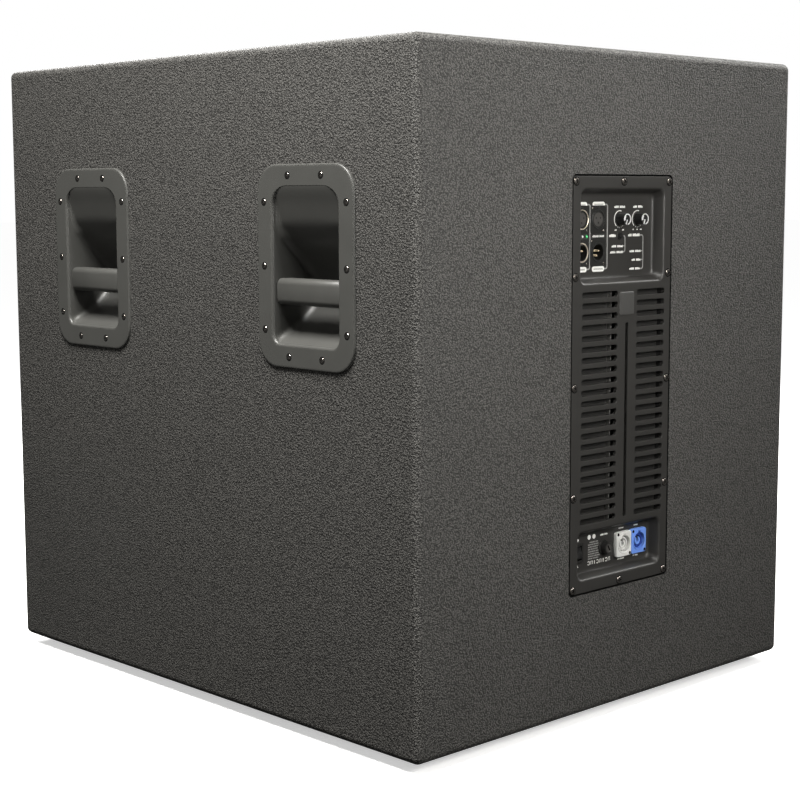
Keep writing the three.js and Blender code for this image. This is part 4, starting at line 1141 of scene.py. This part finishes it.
# mains bay
word(-18.4, 199.6, (6,), 1.1, 1.9, 0.3)
word(-43.8, 199.6, (5,), 1.1, 1.9, 0.3)
word(-18.4, 165.4, (2, 6), 1.0, 1.5, 0.3)
word(-43.8, 165.4, (2, 4), 1.0, 1.5, 0.3)
word(10.6, 196.4, (4, 4), 1.1, 1.8, 0.3)
for r_, (a, b) in enumerate(((22, 35), (21.5, 37), (21, 37), (20, 37), (19.5, 37), (18.5, 37), (17, 37), (19, 37))):
    zc = 190.6 - r_ * 2.55
    u = b
    j = 0
    while u > a:
        w_ = 0.85 + 0.5 * ((j * 5 + r_ * 3) % 4)
        flat([(u - w_, zc - 0.62), (u, zc - 0.62), (u, zc + 0.62), (u - w_, zc + 0.62)], 1)
        u -= w_ + 0.5 + (0.6 if (j + r_) % 5 == 4 else 0)
        j += 1
for j, u in enumerate((35.5, 27.5)):                # plain discs over the text rows
    flat(circ((u, 196.4, 2.6), 0, 24))
for j in range(8):                                  # plain round and square marks under them
    u = 36 - 4.9 * j
    if j % 3 == 0:
        band([(u + 1.7 * math.cos(t), 168.2 + 1.9 * math.sin(t)) for t in np.linspace(0.6, 5.7, 16)], 0.8, 0)
    elif j % 3 == 1:
        band([(u - 1.3, 166.4), (u - 1.3, 170), (u + 1.3, 170), (u + 1.3, 166.4)], 0.75, 0)
    else:
        flat(rr(u - 0.6, u + 0.6, 166.2, 170.2, 0.3, 3))
flat(circ((54, 195.6, 1.3), 0, 16))
band([(53.4, 166.0), (55.2, 168.4)], 1.1, 0)
k.obj("panel_marks", ["print", "print_grey"], sharp=30)

# small bright screw high in the control bay
k = Kit()
put_screw(k, SCREW_H, (-26.0, F + 0.6, 560.9), (0, 0.8, -0.6), 0.3, 0.5)
k.obj("bay_screw", ["screw", "recess"])

# ------------------------------------------------------------------ pole socket
k = Kit()
zt = Z1
k.turn([(17.5, zt - 82), (17.5, zt - 1.0), (18.0, zt - 0.3), (19.0, zt - 0.02), (40.3, zt - 0.02), (41.1, zt - 0.35), (41.5, zt - 1.1), (41.5, zt - 2.4), (21, zt - 2.4), (21, zt - 85)], (0, 0), 64, 0, axis="z", closed=True)
k.turn([(0, zt - 85), (20.8, zt - 85), (20.8, zt - 82), (0, zt - 82)], (0, 0), 32, 0, axis="z")
for i in range(4):
    a = math.radians(45 + 90 * i)
    put_screw(k, SCREW_H, (31 * math.cos(a), 31 * math.sin(a), zt - 0.99), (0, 0, 1), a, 1.0, 1, 2)
k.obj("pole_cup", ["moulded", "screw", "recess"], replaces=("pole_socket",), sharp=30)

# ------------------------------------------------------------------ feet
n = 0
for x, y in ((235, 285), (-235, 285), (235, -285), (-235, -285)):
    n += 1
    k = Kit()
    k.turn([(5.2, 2.6), (6.4, 2.3), (6.6, 0.7), (7.4, 0.0), (16.6, 0.0), (17.6, 0.4), (18.2, 1.4), (19.8, 8.6), (20.0, 9.7), (5.2, 9.7)], (x, y), 56, 0, axis="z", closed=True)
    k.turn([(2.2, 2.6), (5.6, 2.6), (5.6, 3.4), (2.2, 3.4)], (x, y), 32, 1, axis="z", closed=True)
    put_screw(k, SCREW_H, (x, y, 2.62), (0, 0, -1), 0.4 * n, 1.0, 1, 2)
    k.obj("foot_%d" % n, ["rubber", "steel", "recess"], replaces=("rubber_foot_%d" % n,), sharp=34)

# ------------------------------------------------------------------ front: baffle lining, driver and grille
k = Kit()
for i in range(8):
    a = math.radians(22.5 + 45 * i)
    x, z = 221 * math.cos(a), WZ + 221 * math.sin(a)
    put_screw(k, SCREW_H, (x, BF - 9.0, z), (0, -1, 0), a, 1.5)
k.obj("driver_screws", ["screw", "recess"], sharp=30)

# frame ring of the driver, over the CAD basket
k = Kit()
k.turn([(231, BF - 0.4), (231, BF - 6.4), (229.6, BF - 8.3), (227, BF - 9.0), (209, BF - 9.0), (206.5, BF - 8.0), (204, BF - 4.5), (201, BF - 4.1), (201, BF - 0.4)], (0, WZ), 120, 0, closed=True)
for i in range(8):
    a0 = math.radians(22.5 + 45 * i + 10)
# basket body behind it: cup with eight spokes
seg = 96
for s_ in range(8):
    a0 = 45 * s_ - 9
    rings = []
    for r, y, t in ((203, BF + 14, 5), (186, BF + 36, 5), (160, BF + 60, 5), (118, BF + 92, 5.5)):
        ring = []
        for j in range(5):
            a = math.radians(a0 + 18 * j / 4)
            ring.append((r * math.cos(a), y, WZ + r * math.sin(a)))
        for j in range(4, -1, -1):
            a = math.radians(a0 + 18 * j / 4)
            ring.append(((r + t) * math.cos(a), y + t * 0.9, WZ + (r + t) * math.sin(a)))
        rings.append(ring)
    k.loft(rings)
k.turn([(211, BF - 0.4), (211, BF + 15), (203, BF + 19), (197, BF + 14), (197, BF - 0.4)], (0, WZ), 96, 0, closed=True)
k.turn([(118, BF + 92), (122, BF + 97), (104.5, BF + 100), (104.5, BF + 134), (56, BF + 134), (56, BF + 128), (93, BF + 128), (93, BF + 94)], (0, WZ), 72, 0, closed=True)
k.obj("driver_basket", ["cast"], replaces=("woofer_basket",), sharp=30)

# cone with ribs, cap
k = Kit()
prof = []
for i in range(41):
    t = i / 40
    r = 158 - (158 - 51.4) * t
    y = BF - 4.2 + (BF + 76 - (BF - 4.2)) * (t ** 1.06)
    rib = 1.1 * math.exp(-((r - 128) / 2.0) ** 2) + 1.1 * math.exp(-((r - 100) / 2.0) ** 2)
    prof.append((r, y - rib))
back = [(r, y + 2.2) for r, y in ((51.4, BF + 77.5), (110, BF + 35.2), (157, BF - 0.5))]
k.turn([(166.5, BF - 7.2)] + prof + back + [(166.5, BF - 4.6)], (0, WZ), 120, 0, closed=True)
k.obj("cone", ["cone"], "cone_assembly", ("woofer_cone",), 40)
k = Kit()
dome = []
for i in range(17):
    t = i / 16
    r = 72.0 * t
    dome.append((r, BF + 22.2 + 33 * (1 - math.cos(t * 1.25)) / (1 - math.cos(1.25))))
inner = [(r - 0.6 if r > 1 else 0, y + 1.4) for r, y in dome[::-1]]
k.turn(dome + inner, (0, WZ), 96, 0)
k.obj("dust_cap", ["cone"], "cone_assembly", ("woofer_dust_cap",), 40)

# half-roll surround and spider, in sectors that stretch between frame and cone
SECT = 24


def sectors(prefix, prof, thick_out, node_, material):
    for s_ in range(SECT):
        k = Kit()
        rings = []
        for j in range(6):
            a = 2 * math.pi * (s_ + j / 5) / SECT
            rings.append([(r * math.cos(a), h, WZ + r * math.sin(a)) for r, h in prof])
        k.loft(rings)
        me = bpy.data.meshes.new("%s_%02d" % (prefix, s_ + 1))
        me.from_pydata([(a * S, b * S, c * S) for a, b, c in k.v], [], k.f)
        bm = bmesh.new()
        bm.from_mesh(me)
        bmesh.ops.recalc_face_normals(bm, faces=bm.faces)
        bm.to_mesh(me)
        bm.free()
        me.materials.append(M[material])
        me.shade_smooth()
        me.set_sharp_from_angle(angle=math.radians(50))
        o = bpy.data.objects.new(me.name, me)
        bpy.context.scene.collection.objects.link(o)
        a = 2 * math.pi * (s_ + 0.5) / SECT
        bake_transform(o)
        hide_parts(node_)


roll = []
for i in range(15):
    t = math.pi * i / 14
    roll.append((181.5 + 13.0 * math.cos(t), BF - 9.6 - 7.4 * math.sin(t)))
top = [(206, BF - 10.2), (196, BF - 10.2)] + roll + [(163, BF - 7.6), (158.5, BF - 6.0)]
bot = [(r, h + 1.3) for r, h in top[::-1]]
sectors("surround", top + bot, 1.3, "woofer_surround", "surround")
sp = []
for i in range(33):
    t = i / 32
    r = 91.2 - (91.2 - 51.2) * t
    sp.append((r, BF + 106.4 + 1.7 * math.sin(t * math.pi * 7)))
bot = [(r, h + 0.9) for r, h in sp[::-1]]
sectors("spider", sp + bot, 0.9, "woofer_spider", "cloth")

# perforated steel grille
GX, GZ0, GZ1, GY = 285.0, 30.0, 690.0, -355.1
PITCH = 10.0
k = Kit()
hexes = []
row = PITCH * math.sqrt(3) / 2
nz = int((GZ1 - GZ0 - 12) / row)
zc0 = (GZ0 + GZ1) / 2
nzh = nz // 2
verts, faces = [], []
index = {}


def vid(p):
    key = (round(p[0], 2), round(p[1], 2), round(p[2], 2))
    if key not in index:
        index[key] = len(verts)
        verts.append(p)
    return index[key]


gf, gb = GY, GY + 1.5
ro, ri = PITCH / math.sqrt(3), 4.35
mats_ = []
for r_ in range(-nzh, nzh + 1):
    off = (r_ % 2) * PITCH / 2
    for c_ in range(-28, 29):
        cx, cz = c_ * PITCH + off, zc0 + r_ * row
        if abs(cx) > GX - 7.5:
            continue
        o_, i_ = [], []
        for j in range(6):
            a = math.radians(30 + 60 * j)
            o_.append((cx + ro * math.cos(a), cz + ro * math.sin(a)))
            i_.append((cx + ri * math.cos(a), cz + ri * math.sin(a)))
        for j in range(6):
            q = (j + 1) % 6
            of, oq = vid((o_[j][0], gf, o_[j][1])), vid((o_[q][0], gf, o_[q][1]))
            jf, jq = vid((i_[j][0], gf, i_[j][1])), vid((i_[q][0], gf, i_[q][1]))
            ob, obq = vid((o_[j][0], gb, o_[j][1])), vid((o_[q][0], gb, o_[q][1]))
            jb, jbq = vid((i_[j][0], gb, i_[j][1])), vid((i_[q][0], gb, i_[q][1]))
            faces.append([of, oq, jq, jf])
            faces.append([obq, ob, jb, jbq])
            faces.append([jf, jq, jbq, jb])
# rim walls of the perforated field
edges = {}
for f_ in faces:
    for a, b in zip(f_, f_[1:] + f_[:1]):
        edges[(a, b)] = edges.get((a, b), 0) + 1
open_e = [(a, b) for (a, b) in edges if (b, a) not in edges]
for a, b in open_e:
    pa, pb = verts[a], verts[b]
    if abs(pa[1] - gf) < 1e-6 and abs(pb[1] - gf) < 1e-6:
        qa, qb = vid((pa[0], gb, pa[2])), vid((pb[0], gb, pb[2]))
        faces.append([b, a, qa, qb])
k.add(verts, faces, 0)
me = bpy.data.meshes.new("tmp")
me.from_pydata([(a * S, b * S, c * S) for a, b, c in verts], [], faces)
bm = bmesh.new()
bm.from_mesh(me)
bmesh.ops.recalc_face_normals(bm, faces=bm.faces)
bm.to_mesh(me)
bm.free()
me.name = "grille_mesh"
me.materials.append(M["grille"])
o = bpy.data.objects.new("grille_mesh", me)
bpy.context.scene.collection.objects.link(o)
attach(o, "cabinet")
k = Kit()
g = (-GX, GX, GZ0, GZ1, 5.0)
# folded pan: plain border, rounded fold, side walls
k.loft([on_y(rect(g, -13, r=3), GY + 1.45), on_y(rect(g, -13, r=3), GY - 0.12), on_y(rect(g, -2.4), GY - 0.12), on_y(rect(g, -1.2), GY + 0.1), on_y(rect(g, -0.35), GY + 0.8), on_y(rect(g), GY + 2.2),
        on_y(rect(g), GY + 15.9), on_y(rect(g, -1.6), GY + 15.9), on_y(rect(g, -1.6), GY + 2.6), on_y(rect(g, -2.6), GY + 1.7)], 0, False, False, closed=True)
for x in (-278.5, 278.5):
    for z in (60, 250, 470, 660):
        put_screw(k, SCREW_H, (x, GY - 0.1, z), (0, -1, 0), 0.6 + z, 0.95, 1, 2, 0.1)
for x in (-140, 0, 140):
    for z in (36.5, 683.5):
        put_screw(k, SCREW_H, (x, GY - 0.1, z), (0, -1, 0), 0.6 + x, 0.95, 1, 2, 0.1)
k.obj("grille_pan", ["grille", "screw", "recess"], replaces=("front_grille",), sharp=34)

# baffle with its port opening, painted faces
k = Kit()
out = rr(-XI + 0.3, XI - 0.3, ZI0 + 0.3, ZI1 - 0.3, 0.6, 3)
hole = circ((0, WZ, 212), 0, 96)
port = rr(-XI + 14, XI - 14, ZI0 + 8, ZI0 + 88, 10, 6)
porte = rr(-XI + 12, XI - 12, ZI0 + 6, ZI0 + 90, 12, 6)
cap(k, out, [hole, porte], BF)
cap(k, out, [hole, port], BR)
k.loft([on_y(out, BF), on_y(out, BR)], 0, False, False)
k.loft([on_y(hole, BF), on_y(hole, BR)], 0, False, False)
k.loft([on_y(porte, BF), on_y(rr(-XI + 13.4, XI - 13.4, ZI0 + 7.4, ZI0 + 88.6, 10.6, 6), BF + 0.7), on_y(port, BF + 2.2), on_y(port, BR)], 0, False, False)
k.obj("baffle_board", ["baffle"], replaces=("front_baffle",), sharp=34, weighted=True)

# ------------------------------------------------------------------ CAD nodes that stay: node materials
KEEP = {"port_shelf": "ply", "woofer_voice_coil": "copper", "woofer_top_plate": "steel", "woofer_magnet": "ferrite", "woofer_pole_plate": "steel",
        "amp_chassis": "moulded", "heat_sink": "alu", "amp_board": "board", "power_transformer": "copper", "level_pot": "steel", "lowpass_pot": "steel",
        "phase_switch": "socket"}
for name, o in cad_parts.items():
    if o.hide_render:
        continue
    m_ = M[KEEP[name]]
    if not o.material_slots:
        o.data.materials.append(m_)
    for s_ in o.material_slots:
        s_.material = m_

# ------------------------------------------------------------------ stage and light
me = bpy.data.meshes.new("floor")
me.from_pydata([(-30, -30, 0), (30, -30, 0), (30, 30, 0), (-30, 30, 0)], [], [[0, 1, 2, 3]])
fm = mat("floor_white", (0.85, 0.85, 0.85), 0.9, 0, 0.1)
grad = node(fm, "ShaderNodeTexGradient")
grad.gradient_type = "SPHERICAL"
fv = coords(fm, (0.40, 0.40, 0.40))
link(fm, fv, grad.inputs["Vector"])
mrf = node(fm, "ShaderNodeMapRange")
mrf.inputs["To Min"].default_value = 0.95
mrf.inputs["To Max"].default_value = 0.42
link(fm, grad.outputs["Fac"], mrf.inputs["Value"])
link(fm, mrf.outputs["Result"], fm.node_tree.nodes["Principled BSDF"].inputs["Emission Strength"])
fm.node_tree.nodes["Principled BSDF"].inputs["Emission Color"].default_value = (1, 1, 1, 1)
me.materials.append(fm)
floor = bpy.data.objects.new("floor", me)
bpy.context.scene.collection.objects.link(floor)
floor.location.z = -0.0005
floor.visible_diffuse = False
floor.visible_glossy = False

world = bpy.data.worlds.new("studio")
bpy.context.scene.world = world
world.use_nodes = True
world.node_tree.nodes["Background"].inputs["Color"].default_value = (1, 1, 1, 1)
world.node_tree.nodes["Background"].inputs["Strength"].default_value = 1.0
dim = world.node_tree.nodes.new("ShaderNodeBackground")
dim.inputs["Color"].default_value = (1.0, 0.99, 0.97, 1)
dim.inputs["Strength"].default_value = WORLD
pick = world.node_tree.nodes.new("ShaderNodeMixShader")
path = world.node_tree.nodes.new("ShaderNodeLightPath")
world.node_tree.links.new(path.outputs["Is Camera Ray"], pick.inputs["Fac"])
world.node_tree.links.new(dim.outputs["Background"], pick.inputs[1])
world.node_tree.links.new(world.node_tree.nodes["Background"].outputs["Background"], pick.inputs[2])
world.node_tree.links.new(pick.outputs["Shader"], world.node_tree.nodes["World Output"].inputs["Surface"])


def area(name, loc, target, size, power, color=(1, 1, 1), size_y=None):
    d = bpy.data.lights.new(name, "AREA")
    d.shape = "RECTANGLE"
    d.size = size
    d.size_y = size_y or size
    d.energy = power
    d.color = color
    o = bpy.data.objects.new(name, d)
    bpy.context.scene.collection.objects.link(o)
    o.visible_camera = False
    o.location = loc
    o.rotation_mode = "QUATERNION"
    o.rotation_quaternion = (Vector(target) - Vector(loc)).to_track_quat("-Z", "Y")
    return o


for nm, loc, tgt, size, power, col in LIGHTS:
    area(nm, loc, tgt, size, power, col)
try:
    bpy.context.scene.view_settings.view_transform = "Standard"
except TypeError:
    pass
